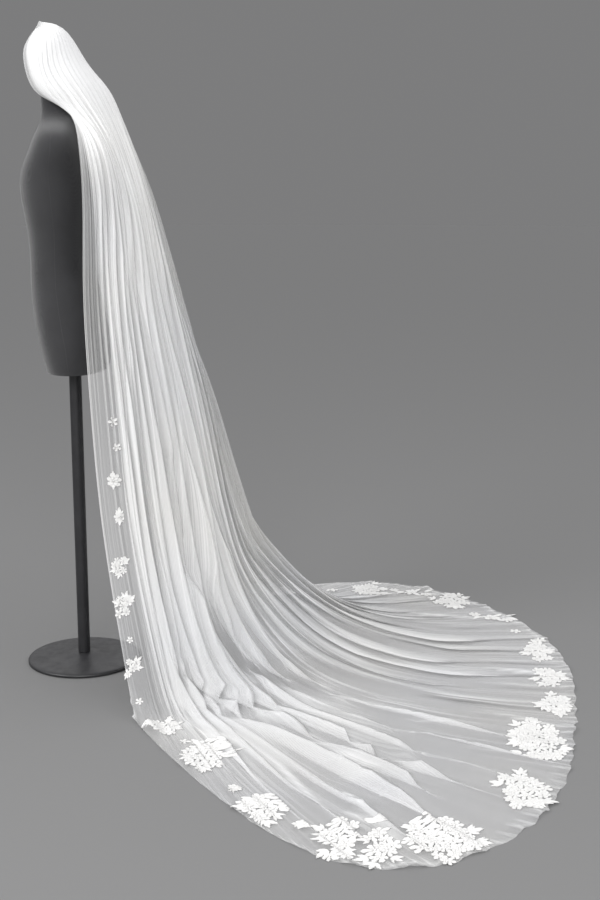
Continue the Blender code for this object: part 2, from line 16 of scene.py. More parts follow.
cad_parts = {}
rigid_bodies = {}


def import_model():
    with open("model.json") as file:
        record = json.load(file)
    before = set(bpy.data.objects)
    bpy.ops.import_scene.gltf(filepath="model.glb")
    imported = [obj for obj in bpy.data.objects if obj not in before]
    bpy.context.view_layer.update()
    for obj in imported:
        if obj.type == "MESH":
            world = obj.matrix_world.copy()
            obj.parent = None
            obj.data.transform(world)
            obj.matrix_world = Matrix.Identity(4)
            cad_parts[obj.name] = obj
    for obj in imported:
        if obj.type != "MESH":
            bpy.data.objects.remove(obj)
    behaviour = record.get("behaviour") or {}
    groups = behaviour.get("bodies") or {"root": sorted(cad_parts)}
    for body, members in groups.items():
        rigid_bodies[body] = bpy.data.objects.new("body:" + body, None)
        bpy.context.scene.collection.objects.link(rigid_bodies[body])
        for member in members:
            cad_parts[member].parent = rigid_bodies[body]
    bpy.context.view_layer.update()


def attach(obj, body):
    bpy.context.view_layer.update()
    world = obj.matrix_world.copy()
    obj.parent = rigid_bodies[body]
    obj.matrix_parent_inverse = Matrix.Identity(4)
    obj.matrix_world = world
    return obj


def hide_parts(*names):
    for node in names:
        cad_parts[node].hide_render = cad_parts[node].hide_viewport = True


bl_info = {
    "name": "Chapel veil on a dress form",
    "version": (1, 0, 0),
    "blender": (4, 5, 0),
    "location": "3D View > Sidebar > Veil",
    "description": "Builds a gathered tulle veil with lace flowers, its comb and the dress form under it",
    "category": "Add Mesh",
}

for startup in list(bpy.data.objects):
    bpy.data.objects.remove(startup)
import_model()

# Sizes of the cloth
COLUMNS_PER_FOLD = 16
CLOTH_ROWS = 110
NET_THICKNESS = 0.0004
NET_MESH = 0.0012
CUT_WIDTH = 2.74
# Height above the floor from which folds begin to lie flat on it
SETTLING_HEIGHT = 0.040
# Share of its fold that the cloth keeps at its very edge
BORDER_CALM = 0.20
# How far a parting pushes the columns beside it, and how far its clear strip and its push reach, each in
# widths of the parting
PARTING_PUSH = 0.55
PARTING_CLEAR = 0.98
PARTING_STRIP = 1.15
PARTING_REACH = 1.5
# Thicknesses of net gathered on a crease's crest, on a fold that lies down, and along the cut edge
CREASE_LAYERS = 2.4
BAND_LAYERS = 0.7
EDGE_LAYERS = 1.6
EDGE_WIDTH = 0.004
# Share of the gathers that the half behind lacks, where across that begins, and how soon it is complete
FAR_THINNING = 0.82
FAR_START = 0.50
FAR_WIDTH = 0.12
# The sheer strip along the side edges: its width and the share of the gathers in it at some sections, and how
# wide the change to the gathered part is
SHEER_WIDTHS = ((4.0, 0.03), (7.0, 0.125))
SHEER_GATHERS = ((2.5, 0.03), (4.0, 0.18), (7.0, 0.03))
SHEER_CHANGE = 0.09
# The section from which the cloth begins to lie on the floor, and over how many it does
LOW_START = 10
LOW_CHANGE = 1.5
# Small lifts of the cloth on the floor and of its hem, and the uneven line of the hem: each one's height and
# its reach inwards
FLOOR_LIFT = 0.0016
HEM_LIFT, HEM_REACH = 0.006, 0.030
RAGGED_LINE, RAGGED_REACH = 0.004, 0.022

# Nine lines run down the cloth, from the near front edge round the back to the far one. Each section crosses
# them all, and its line gives its nine points in millimetres. Depth is half of a fold's height, lean is how
# far its crest is pushed along the cloth, border is the width of the flatter strip along the cloth's edge,
# all in metres; layers is how many thicknesses of net are packed there, and streaks is how uneven they are.
SECTIONS = (
    dict(name="comb", depth=0.0004, lean=0.000, border=0.010, layers=4.0, streaks=0.15, line=(
        (-50, -56, 1648), (-52, -43, 1655), (-53, -28, 1657), (-54, -14, 1657), (-54, 0, 1657),
        (-54, 14, 1657), (-53, 28, 1657), (-52, 43, 1655), (-50, 56, 1648))),
    dict(name="crown", depth=0.0004, lean=0.001, border=0.014, layers=26.0, streaks=0.15, line=(
        (-86, -46, 1604), (-64, -66, 1606), (-30, -70, 1617), (-6, -44, 1635), (4, 0, 1638), (-6, 44, 1635),
        (-30, 70, 1617), (-64, 66, 1606), (-86, 46, 1604))),
    dict(name="temple", depth=0.0006, lean=0.002, border=0.016, layers=22.0, streaks=0.15, line=(
        (-91, -54, 1560), (-62, -78, 1553), (-26, -80, 1556), (18, -60, 1575), (52, -4, 1567),
        (22, 60, 1573), (-26, 80, 1556), (-62, 78, 1553), (-91, 54, 1560))),
    dict(name="cheek", depth=0.0012, lean=0.003, border=0.020, layers=18.0, streaks=0.30, line=(
        (-64, -68, 1490), (-36, -86, 1490), (4, -90, 1495), (56, -70, 1505), (99, -8, 1505), (80, 55, 1505),
        (30, 85, 1500), (-20, 88, 1495), (-56, 72, 1490))),
    dict(name="neck", depth=0.0030, lean=0.004, border=0.034, layers=14.0, streaks=0.60, line=(
        (12, -90, 1446), (30, -102, 1430), (58, -106, 1425), (98, -80, 1430), (131, -15, 1435),
        (124, 45, 1430), (95, 90, 1425), (55, 108, 1425), (20, 100, 1435))),
    dict(name="shoulder", depth=0.0060, lean=0.006, border=0.045, layers=11.0, streaks=0.80, line=(
        (56, -182, 1365), (78, -178, 1350), (105, -155, 1345), (138, -105, 1345), (160, -25, 1350),
        (156, 55, 1350), (133, 125, 1345), (100, 175, 1350), (66, 188, 1360))),
    dict(name="blade", depth=0.0105, lean=0.007, border=0.040, layers=10.5, streaks=0.85, line=(
        (64, -198, 1250), (92, -192, 1240), (125, -168, 1235), (166, -118, 1235), (192, -35, 1235),
        (192, 60, 1235), (168, 140, 1235), (130, 195, 1240), (90, 215, 1250))),
    dict(name="waist", depth=0.0145, lean=0.010, border=0.100, layers=9.5, streaks=0.85, line=(
        (60, -200, 1050), (95, -200, 1045), (138, -185, 1040), (190, -138, 1040), (234, -45, 1040),
        (240, 70, 1040), (212, 165, 1040), (170, 230, 1045), (125, 255, 1050))),
    dict(name="hip", depth=0.0165, lean=0.014, border=0.160, layers=8.2, streaks=0.85, line=(
        (68, -205, 740), (112, -210, 730), (168, -200, 720), (240, -155, 715), (306, -55, 710),
        (332, 75, 710), (312, 185, 710), (275, 265, 710), (228, 300, 710))),
    dict(name="knee", depth=0.0180, lean=0.022, border=0.180, layers=6.0, streaks=0.80, line=(
        (102, -252, 380), (152, -264, 370), (215, -258, 360), (300, -212, 355), (378, -105, 360),
        (416, 50, 375), (418, 190, 380), (395, 300, 370), (335, 345, 380))),
    dict(name="calf", depth=0.0165, lean=0.026, border=0.180, layers=3.8, streaks=0.70, line=(
        (143, -325, 170), (200, -340, 155), (268, -330, 140), (360, -278, 150), (450, -140, 190),
        (495, 45, 235), (505, 205, 240), (470, 340, 200), (410, 420, 150))),
    dict(name="touchdown", depth=0.0110, lean=0.034, border=0.240, layers=2.1, streaks=0.45, line=(
        (166, -375, 75), (245, -412, 12), (335, -420, 0), (470, -360, 10), (590, -190, 40), (660, 40, 80),
        (670, 270, 85), (590, 440, 55), (480, 540, 15))),
    dict(name="train", depth=0.0085, lean=0.050, border=0.300, layers=1.15, streaks=0.30, line=(
        (179, -405, 30), (320, -610, 0), (520, -790, 0), (750, -670, 0), (890, -375, 0), (960, -30, 3),
        (925, 310, 5), (745, 560, 3), (505, 600, 0))),
    dict(name="hem", depth=0.0130, lean=0.040, border=0.280, layers=1.0, streaks=0.20, line=(
        (188, -430, 0), (395, -810, 0), (720, -1135, 0), (1075, -930, 0), (1235, -490, 0), (1300, -70, 0),
        (1215, 335, 0), (915, 670, 0), (525, 645, 0))),
)

# One row for each fold, from the near edge round to the far one: its share of the width, of the section's
# depth and of the section's lean
FOLDS = (
    # width, depth, lean
    (3.6, 0.20, 0.0), (1.5, 0.25, 0.3), (0.8, 0.90, 0.9), (1.1, 0.70, 0.8),
    (0.9, 1.20, 1.2), (1.2, 0.90, 1.0), (0.8, 0.60, 0.7), (1.0, 1.25, 1.2),
    (1.1, 0.95, 1.1), (0.7, 0.75, 0.8), (1.2, 1.15, 0.9), (0.9, 0.85, 0.6),
    (1.1, 1.05, 0.3), (0.9, 0.70, -0.2), (1.0, 1.20, -0.6), (1.2, 0.90, -0.9),
    (0.8, 0.65, -1.0), (1.0, 1.10, -1.1), (1.1, 0.80, -0.8), (0.9, 1.20, -1.2),
    (1.2, 0.95, -1.0), (0.8, 0.70, -0.9), (1.0, 1.15, -1.2), (1.1, 0.90, -0.9),
    (0.9, 1.10, -1.1), (1.0, 0.75, -0.8), (0.9, 0.80, -0.7), (2.4, 0.30, 0.0),
)

# Places where the folds part and the net lies single. Each follows a line of points, given as a section and a
# place across the cloth from 0 to 1, and is widest in its middle; width is in shares of the cloth's width.
PARTINGS = (
    # width, ((row, across), ...)
    (0.016, ((7.6, 0.268), (8.2, 0.265), (8.8, 0.260), (9.4, 0.255), (9.9, 0.258), (10.4, 0.285))),
    (0.012, ((8.3, 0.344), (8.8, 0.348), (9.2, 0.360), (9.5, 0.372))),
    (0.018, ((9.3, 0.404), (9.9, 0.403), (10.4, 0.415), (10.9, 0.452), (11.4, 0.492), (11.9, 0.545))),
    (0.016, ((10.6, 0.500), (11.2, 0.530), (11.8, 0.535), (12.3, 0.515), (12.9, 0.465))),
    (0.014, ((10.2, 0.245), (10.6, 0.300), (10.9, 0.352), (11.2, 0.380))),
    (0.016, ((10.8, 0.262), (11.1, 0.335), (11.5, 0.350), (11.8, 0.375))),
    (0.018, ((11.3, 0.435), (11.6, 0.468), (11.9, 0.458), (12.2, 0.415), (12.5, 0.392), (13.0, 0.375))),
    (0.010, ((11.7, 0.385), (11.9, 0.395), (12.2, 0.368))),
    (0.012, ((12.0, 0.452), (12.4, 0.434), (13.0, 0.408))),
    (0.014, ((12.2, 0.368), (12.7, 0.352), (13.2, 0.340))),
    (0.012, ((6.0, 0.180), (7.0, 0.175), (8.5, 0.170), (10.0, 0.150))),
    (0.012, ((7.0, 0.480), (8.0, 0.486), (9.2, 0.500))),
    (0.016, ((10.6, 0.640), (11.3, 0.660), (12.0, 0.650), (12.7, 0.610))),
    (0.014, ((10.9, 0.720), (11.5, 0.735), (12.2, 0.720), (12.8, 0.690))),
    (0.012, ((8.2, 0.620), (9.0, 0.640), (10.2, 0.660))),
    (0.014, ((7.8, 0.790), (8.8, 0.800), (9.8, 0.805), (10.8, 0.800))),
    (0.014, ((11.4, 0.590), (12.0, 0.585), (12.8, 0.560))),
    (0.014, ((11.2, 0.810), (12.0, 0.800), (12.9, 0.770))),
)

# Soft creases that lie on the single cloth near the hem: height in millimetres, width as a share of the
# cloth's own, and the line that they follow
CREASES = (
    # height, width, ((row, across), ...)
    (7.0, 0.010, ((10.9, 0.270), (11.3, 0.292), (11.8, 0.290), (12.3, 0.272), (12.8, 0.258))),
    (5.0, 0.007, ((10.7, 0.225), (11.1, 0.250), (11.5, 0.262), (11.8, 0.262))),
    (9.0, 0.008, ((11.7, 0.300), (11.9, 0.330), (12.1, 0.322), (12.4, 0.290), (12.8, 0.272))),
    (6.0, 0.010, ((10.6, 0.190), (11.2, 0.222), (11.8, 0.242), (12.3, 0.250))),
    (4.0, 0.006, ((11.6, 0.335), (11.9, 0.352), (12.2, 0.345))),
    (5.0, 0.008, ((12.2, 0.300), (12.6, 0.292), (12.95, 0.290))),
    (6.0, 0.008, ((12.0, 0.345), (12.5, 0.330), (12.95, 0.322))),
    (4.0, 0.006, ((11.3, 0.180), (11.8, 0.205), (12.3, 0.222))),
    (5.0, 0.008, ((11.9, 0.780), (12.4, 0.760), (12.9, 0.745))),
    (5.0, 0.008, ((11.4, 0.860), (12.0, 0.850), (12.6, 0.840))),
    (4.0, 0.007, ((12.3, 0.620), (12.7, 0.610), (13.0, 0.600))),
    (4.0, 0.007, ((12.4, 0.520), (12.8, 0.505), (13.0, 0.498))),
)

# The torso from the bottom up: height, front and back of the profile, half of the width
TORSO_SECTIONS = (
    # z, front x, back x, half width
    (0.797, -0.070, 0.088, 0.158),
    (0.803, -0.074, 0.092, 0.163),
    (0.860, -0.086, 0.098, 0.176),
    (0.950, -0.101, 0.082, 0.162),
    (1.020, -0.105, 0.066, 0.136),
    (1.075, -0.103, 0.062, 0.126),
    (1.150, -0.106, 0.072, 0.142),
    (1.226, -0.121, 0.082, 0.164),
    (1.290, -0.123, 0.080, 0.176),
    (1.345, -0.094, 0.068, 0.188),
    (1.388, -0.076, 0.052, 0.172),
    (1.415, -0.066, 0.042, 0.092),
    (1.440, -0.064, 0.032, 0.052),
    (1.470, -0.064, 0.018, 0.045),
    (1.486, -0.063, 0.008, 0.040),
    (1.490, -0.061, 0.004, 0.037),
)
TORSO_SIDES = 12
TORSO_SQUARENESS = 0.88
# Directions of the torso's sewn seams round its axis, in degrees from the back
TORSO_SEAMS = (0, 52, 90, 128, 180, 232, 270, 308)
# The seams' lowest and highest points, and the step between the points that they follow
SEAM_HEIGHTS = (0.806, 1.484, 0.004)
SHARP_ANGLE = math.radians(40)

HEAD_CENTRE = (-0.036, 0.0, 1.556)
HEAD_HALF_SIZE = (0.055, 0.058, 0.082)
HEAD_SEAT = 1.4903

POLE_RADIUS = 0.016
POLE_ENDS = (0.0223, 0.7967)
# Half of the base's section, from the top of its hub out and down to its underside
BASE_PROFILE = (
    # radius, height
    (0.000, 0.0220), (0.030, 0.0220), (0.034, 0.0215), (0.050, 0.0170), (0.080, 0.0142), (0.110, 0.0120),
    (0.136, 0.0108), (0.144, 0.0100), (0.148, 0.0085), (0.150, 0.0060), (0.150, 0.0020), (0.1492, 0.0006),
    (0.148, 0.0000), (0.000, 0.0000),
)

COMB_CENTRE = (-0.0474, 0.0, 1.6492)
COMB_TILT = math.radians(51.1)
COMB_LENGTH = 0.050
COMB_END = 0.002
COMB_TEETH = 10
COMB_TOOTH_RADIUS = 0.0011
COMB_TOOTH_LENGTH = 0.042
COMB_BAR_RADIUS = 0.0017

# The lace pieces: the scene's piece, the names of the CAD nodes that it stands for, numbered from 1, and one
# row for each of them with its kind, section, place across, width and height. Section is counted from 0 at
# the comb, across runs from the near edge at 0 to the far edge at 1, and width and height are in millimetres.
APPLIQUES = (
    ("lace_near_edge", "lace_near_{}", (
        ("bud", 8.10, 0.150, 24, 24), ("bud", 8.28, 0.158, 21, 21), ("flower", 8.52, 0.120, 36, 48),
        ("flower", 8.76, 0.125, 26, 48), ("cluster", 9.14, 0.083, 40, 58), ("cluster", 9.58, 0.062, 50, 68),
        ("bud", 9.96, 0.060, 15, 19), ("cluster", 10.40, 0.040, 38, 62), ("bud", 11.22, 0.035, 18, 20),
    )),
    ("lace_hem_edge", "lace_hem_{:02}", (
        ("cluster", 11.40, 0.112, 80, 85), ("bud", 11.60, 0.150, 18, 28),
        ("cluster", 11.72, 0.186, 108, 170), ("flower", 12.26, 0.185, 30, 48),
        ("cluster", 12.44, 0.205, 98, 135), ("flower", 12.52, 0.233, 30, 48),
        ("cluster", 12.64, 0.253, 86, 195), ("cluster", 12.74, 0.275, 72, 195),
        ("cluster", 12.78, 0.318, 165, 195), ("cluster", 12.80, 0.400, 125, 200),
        ("cluster", 12.76, 0.478, 135, 260), ("cluster", 12.86, 0.543, 94, 160),
        ("cluster", 12.84, 0.600, 88, 150), ("cluster", 12.84, 0.667, 89, 190),
        ("bud", 12.82, 0.715, 22, 44), ("spray", 12.80, 0.753, 112, 130),
        ("cluster", 12.80, 0.808, 125, 150), ("spray", 12.66, 0.845, 116, 110),
        ("cluster", 12.45, 0.882, 110, 150),
    )),
    ("lace_far_edge", "lace_far_{}", (
        ("bud", 12.10, 0.915, 24, 40), ("spray", 11.75, 0.945, 85, 80), ("bud", 11.30, 0.960, 22, 30),
        ("cluster", 10.48, 0.960, 46, 60), ("flower", 9.24, 0.955, 30, 32), ("bud", 8.84, 0.955, 24, 24),
        ("bud", 8.30, 0.955, 24, 24), ("bud", 8.10, 0.955, 20, 20),
    )),
)
BLOOM_RADIUS = 0.019
LACE_LIFT = 0.0004
LACE_RELIEF = 0.0016
# Rings of a petal or leaf from its rim inwards, with the raised cord along it: share of its size, and height
CORD_RINGS = ((1.00, 0.0), (0.90, 1.0), (0.76, 0.50))
# Blooms: petals in the outer ring, in the inner ring, and the two rings' sizes
BLOOMS = (("bloom", 6, 5, 0.95, 0.52), ("double", 7, 6, 0.95, 0.58), ("round", 5, 5, 1.0, 0.48))

STITCH = dict(Length=0.0016, Thickness=0.0004)
GATHERING_STITCH = dict(Spacing=0.0028, Length=0.0009, Thickness=0.0003)
# Streaks that the net shows along its length: how fine, how stretched and how strong
FINE_STREAKS = ((34, 0.016, 1.9), (80, 0.010, 1.2))
# Rows of the net's grid that the two lines of gathering stitches follow
GATHERING_ROWS = (2, 4)
THREAD_RADIUS = 0.0003
THREAD_LOOPS = 34

FLOOR_RADIUS = 30
LAMPS = (
    # name, place, target, size, watts
    ("lamp_left", (-3.6, -3.0, 3.2), (0.3, -0.1, 0.8), 2.6, 190),
    ("lamp_right", (4.4, -3.2, 2.6), (0.6, -0.2, 0.4), 2.4, 60),
    ("lamp_front", (0.4, -6.5, 3.0), (0.5, -0.1, 0.9), 3.0, 220),
)
# The studio's dome of light, from the horizon to straight above: its height on the sky and its brightness
DOME = ((0.00, 0.254), (0.13, 0.254), (0.42, 0.97), (1.00, 1.33))
CAMERA_PLACE = (0.585, -3.5, 1.3)
CAMERA_TILT = math.radians(78.35)


def unit(vectors):
    """Vectors of length 1."""
    return vectors / np.maximum(np.linalg.norm(vectors, axis=-1, keepdims=True), 1e-9)


def tangents(points, axis):
    """Directions of a grid's lines at its points, half-way between those of the two edges that meet there."""
    edges = np.moveaxis(unit(np.diff(points, axis=axis)), axis, 0)
    before = np.concatenate([edges[:1], edges])
    after = np.concatenate([edges, edges[-1:]])
    return np.moveaxis(unit(before + after), 0, axis)


def surface_normals(points):
    """Normals of a grid of points, away from the form and up on the floor."""
    return unit(np.cross(tangents(points, 0), tangents(points, 1)))


def spline(knots, values, at):
    """Natural cubic spline through values at the knots, read at other places along the first axis."""
    knots = np.asarray(knots, float)
    values = np.asarray(values, float)
    flat = values.reshape(len(knots), -1)
    step = np.diff(knots)
    system = np.eye(len(knots))
    bend = np.zeros_like(flat)
    for i in range(1, len(knots) - 1):
        system[i, i - 1:i + 2] = step[i - 1], 2 * (step[i - 1] + step[i]), step[i]
        bend[i] = 6 * ((flat[i + 1] - flat[i]) / step[i] - (flat[i] - flat[i - 1]) / step[i - 1])
    bend = np.linalg.solve(system, bend)
    cell = np.clip(np.searchsorted(knots, at, side="right") - 1, 0, len(step) - 1)
    width = step[cell][:, None]
    right = (np.asarray(at)[:, None] - knots[cell][:, None]) / width
    left = 1 - right
    curve = left * flat[cell] + right * flat[cell + 1]
    curve += ((left**3 - left) * bend[cell] + (right**3 - right) * bend[cell + 1]) * width**2 / 6
    return curve.reshape((len(right),) + values.shape[1:])


def ripple(seed, x, y):
    """Smooth uneven waves between about -1 and 1, one wave long in each direction."""
    rng = np.random.default_rng(seed)
    total = np.zeros(np.broadcast(x, y).shape)
    for _ in range(6):
        turn = rng.uniform(0, 2 * math.pi)
        speed = rng.uniform(0.6, 1.5) * 2 * math.pi
        total += np.sin(speed * (x * math.cos(turn) + y * math.sin(turn)) + rng.uniform(0, 2 * math.pi))
    return total / 2.6


def section_value(key, rows):
    """One of the sections' values at each row, as a column."""
    values = [section[key] for section in SECTIONS]
    return np.interp(rows, np.arange(len(values)), values)[:, None]


def section_lines():
    """The sections' points in metres, nine in each."""
    return np.array([section["line"] for section in SECTIONS]) / 1000


def lengths_down():
    """How far down the cloth each section lies, as the mean over its nine lines."""
    lines = section_lines()
    return np.concatenate([[0.0], np.cumsum(np.linalg.norm(np.diff(lines, axis=0), axis=2).mean(axis=1))])


def cloth_rows(count):
    """Row places counted in sections, closer together at the gathered end."""
    share = np.linspace(0, 1, count)
    down = lengths_down()
    return np.interp((0.6 * share + 0.4 * share**2) * down[-1], down, np.arange(len(down)))


def metres_down(rows):
    """How far down the cloth each row lies."""
    return np.interp(rows, np.arange(len(SECTIONS)), lengths_down())


def smooth_points(rows, across):
    """Points of the unfolded cloth: one row for each of rows, at the places across that the row is given."""
    lines = spline(lengths_down(), section_lines(), metres_down(rows))
    knots = np.linspace(0, 1, lines.shape[1])
    return np.array([spline(knots, line, places) for line, places in zip(lines, across)])


def along_line(line, rows):
    """A line's place across the cloth at each row, and how near the row is to its middle, 0 outside."""
    at = np.array(line)
    share = (rows - at[0, 0]) / (at[-1, 0] - at[0, 0])
    middle = np.clip(np.sin(np.clip(share, 0, 1) * math.pi), 0, 1) ** 0.6
    near = np.where((share > 0) & (share < 1), middle, 0)
    return np.interp(rows, at[:, 0], at[:, 1])[:, None], near[:, None]


def fold_wave(fold, down):
    """The cloth's height on its folds: long folds that wander and merge, with finer ones on them."""
    x, y = np.meshgrid(fold, down)
    main = x + 0.22 * ripple(11, x / 6, y / 1.6)
    finer = 2.31 * x + 0.5 * ripple(12, x / 5, y / 1.8)
    size = 1 + 0.35 * ripple(14, x / 3, y / 1.0)
    wave = -size * np.cos(2 * math.pi * main)
    wave -= (0.30 + 0.18 * ripple(15, x / 3, y / 0.9)) * np.cos(2 * math.pi * finer)
    return wave


def border_calm(grid, rows):
    """How much of its fold each point keeps, less near the edges and the hem, and how far off those are."""
    rim = np.concatenate([grid[:, 0], grid[-1, ::4], grid[:, -1]])
    away = np.array([np.linalg.norm(line[:, None] - rim, axis=2).min(axis=1) for line in grid])
    calm = np.clip(away / section_value("border", rows), 0, 1) ** 2
    return BORDER_CALM + (1 - BORDER_CALM) * calm, away


def parted(across, rows):
    """The columns pushed apart at the partings, and how much of its folds and gathers each point keeps."""
    keep = np.ones_like(across)
    for width, line in PARTINGS:
        centre, near = along_line(line, rows)
        apart = (across - centre) / (PARTING_REACH * width)
        across = across + PARTING_PUSH * width * (near * np.exp(-apart**2)) * apart
        keep *= 1 - PARTING_CLEAR * near * np.exp(-(((across - centre) / (PARTING_STRIP * width)) ** 4))
    return across, keep


def creased(across, rows):
    """How far the soft creases lift each point, and how many thicknesses their crests gather."""
    lift = np.zeros_like(across)
    pinched = np.zeros_like(across)
    for height, width, line in CREASES:
        centre, near = along_line(line, rows)
        crest = near * np.exp(-(((across - centre) / (0.6 * width)) ** 2))
        lift += 0.001 * height * crest
        pinched += CREASE_LAYERS * crest**4
    return lift, pinched


def gathered_share(across, rows):
    """The share of a section's packed thicknesses at each point: little along the edges and behind."""
    inside = np.minimum(across, 1 - across)
    sheer = np.interp(rows, *zip(*SHEER_WIDTHS))[:, None]
    rim = np.interp(rows, *zip(*SHEER_GATHERS))[:, None]
    edge = np.clip((inside - sheer) / SHEER_CHANGE, 0, 1)
    far_side = np.clip((across - FAR_START) / FAR_WIDTH, 0, 1)
    return (rim + (1 - rim) * edge * edge * (3 - 2 * edge)) * (1 - FAR_THINNING * far_side)


def folded_cloth():
    """The cloth's middle surface with all its folds, with what lace and materials read from it."""
    rows = cloth_rows(CLOTH_ROWS)
    widths, depths, leans = np.array(FOLDS).T
    fold = np.arange(len(FOLDS) * COLUMNS_PER_FOLD + 1) / COLUMNS_PER_FOLD
    starts = np.concatenate([[0.0], np.cumsum(widths)]) / widths.sum()
    place = np.interp(fold, np.arange(len(starts)), starts)
    middle = np.arange(len(FOLDS)) + 0.5
    depth = np.interp(fold, middle, depths)
    lean = np.interp(fold, middle, leans)

    across, keep = parted(np.tile(place, (len(rows), 1)), rows)
    grid = smooth_points(rows, across)
    grid[..., 2] = np.maximum(grid[..., 2], 0)
    out = surface_normals(grid)
    along = unit(np.gradient(grid, axis=1))
    calm, away = border_calm(grid, rows)
    wave = fold_wave(fold, metres_down(rows))
    rest = np.clip(1 - grid[..., 2] / SETTLING_HEIGHT, 0, 1)
    wave = np.where(wave < 0, wave * (1 - rest), wave) * calm * keep
    folded = grid + out * (wave * depth * section_value("depth", rows))[..., None]
    folded += along * (wave * lean * section_value("lean", rows))[..., None]

    x, y = np.meshgrid(fold, rows)
    low = np.clip((rows - LOW_START) / LOW_CHANGE, 0, 1)[:, None]
    lift, pinched = creased(across, rows)
    lift += low * FLOOR_LIFT * np.maximum(ripple(21, x * 1.3, y * 2.2) - 0.2, 0)
    lift += np.exp(-away / HEM_REACH) * low * HEM_LIFT * np.maximum(ripple(22, x * 0.9, y), 0)
    folded += out * lift[..., None]
    outwards = np.exp(-away / RAGGED_REACH)[..., None] * unit(np.gradient(grid, axis=0)) * low[..., None]
    folded += outwards * (RAGGED_LINE * ripple(23, x * 1.7, y))[..., None]
    folded[..., 2] = np.maximum(folded[..., 2], NET_THICKNESS / 2)

    gathers = 1 + (section_value("layers", rows) - 1) * gathered_share(across, rows) * keep
    gathers = gathers + pinched + BAND_LAYERS * (low * np.clip(wave, 0, 1) ** 2)
    gathers += EDGE_LAYERS * np.exp(-(away / EDGE_WIDTH) ** 2)
    streaks = section_value("streaks", rows) * (0.3 + 0.7 * keep)
    return dict(rows=rows, across=across, smooth=grid, middle=folded, normals=surface_normals(folded),
                gathers=gathers, streaks=streaks)


def wall_of(middle, thickness):
    """The two sides of the net round its middle surface."""
    offset = surface_normals(middle) * thickness / 2
    return middle - offset, middle + offset


def closed_grid(name, inner, outer):
    """A closed wall of quads between two grids of points."""
    rows, columns = inner.shape[:2]
    points = np.concatenate([inner.reshape(-1, 3), outer.reshape(-1, 3)])
    index = np.arange(rows * columns).reshape(rows, columns)
    corners = [index[:-1, :-1], index[1:, :-1], index[1:, 1:], index[:-1, 1:]]
    cells = np.stack(corners, axis=-1).reshape(-1, 4)
    rim = np.concatenate([index[0], index[1:, -1], index[-1, -2::-1], index[-2:0:-1, 0]])
    after = np.roll(rim, -1)
    far = rows * columns
    sides = np.stack([rim + far, after + far, after, rim], axis=-1)
    quads = np.concatenate([cells[:, [0, 3, 2, 1]], cells + far, sides])
    return quick_mesh(name, points, quads)


def quick_mesh(name, points, faces):
    """A mesh from arrays of points and of faces that all have the same number of corners."""
    mesh = bpy.data.meshes.new(name)
    count, corners = faces.shape
    mesh.vertices.add(len(points))
    mesh.vertices.foreach_set("co", np.asarray(points, np.float32).ravel())
    mesh.loops.add(count * corners)
    mesh.loops.foreach_set("vertex_index", np.asarray(faces, np.int32).ravel())
    mesh.polygons.add(count)
    mesh.polygons.foreach_set("loop_start", np.arange(0, count * corners, corners, dtype=np.int32))
    mesh.update(calc_edges=True)
    mesh.validate()
    return mesh


def bilinear(grid, i, j):
    """A grid's values at fractional rows and columns; past its rim it goes on straight."""
    low_i = np.clip(np.floor(i).astype(int), 0, grid.shape[0] - 2)
    low_j = np.clip(np.floor(j).astype(int), 0, grid.shape[1] - 2)
    u = (i - low_i)[..., None]
    v = (j - low_j)[..., None]
    top = grid[low_i, low_j] * (1 - v) + grid[low_i, low_j + 1] * v
    bottom = grid[low_i + 1, low_j] * (1 - v) + grid[low_i + 1, low_j + 1] * v
    slope_i = bottom - top
    slope_j = (grid[low_i, low_j + 1] - grid[low_i, low_j]) * (1 - u)
    slope_j += (grid[low_i + 1, low_j + 1] - grid[low_i + 1, low_j]) * u
    return top * (1 - u) + bottom * u, slope_i, slope_j


def lay_on_cloth(cloth, row, across, flat):
    """A flat shape's points laid on the folded cloth, round a place that is given on the unfolded one."""
    smooth = cloth["smooth"]
    i = np.interp(row, cloth["rows"], np.arange(len(cloth["rows"])))
    near = int(round(i))
    j = np.interp(across, cloth["across"][near], np.arange(smooth.shape[1]))
    centre, down, along = (value[0] for value in bilinear(smooth, np.array([i]), np.array([j])))
    normal = unit(np.cross(down, along))
    x_axis = unit(np.array([1.0, 0, 0]) - normal[0] * normal)
    y_axis = np.cross(normal, x_axis)
    target = centre + flat[:, :1] * x_axis + flat[:, 1:2] * y_axis

    reach = np.abs(flat[:, :2]).max() * 1.5 + 0.02
    close_i, close_j = np.nonzero(np.linalg.norm(smooth - centre, axis=2) < reach)
    if len(close_i) == 0:
        close_i, close_j = np.array([near]), np.array([int(round(j))])
    apart = np.linalg.norm(target[:, None] - smooth[close_i, close_j][None], axis=2)
    nearest = apart.argmin(axis=1)
    i = close_i[nearest].astype(float)
    j = close_j[nearest].astype(float)
    for _ in range(8):
        point, slope_i, slope_j = bilinear(smooth, i, j)
        left = target - point
        left = left - (left @ normal)[:, None] * normal
        a = (slope_i * slope_i).sum(axis=1)
        b = (slope_i * slope_j).sum(axis=1)
        c = (slope_j * slope_j).sum(axis=1)
        p = (slope_i * left).sum(axis=1)
        q = (slope_j * left).sum(axis=1)
        flatness = np.maximum(a * c - b * b, 1e-14)
        i = i + np.clip((c * p - b * q) / flatness, -1.5, 1.5)
        j = j + np.clip((a * q - b * p) / flatness, -3, 3)
        i = np.clip(i, -1.5, smooth.shape[0] + 0.5)
        j = np.clip(j, -2, smooth.shape[1] + 1)
    place = bilinear(cloth["middle"], i, j)[0]
    out = unit(bilinear(cloth["normals"], i, j)[0])
    laid = place + out * flat[:, 2:3]
    laid[:, 2] = np.maximum(laid[:, 2], flat[:, 2])
    return laid


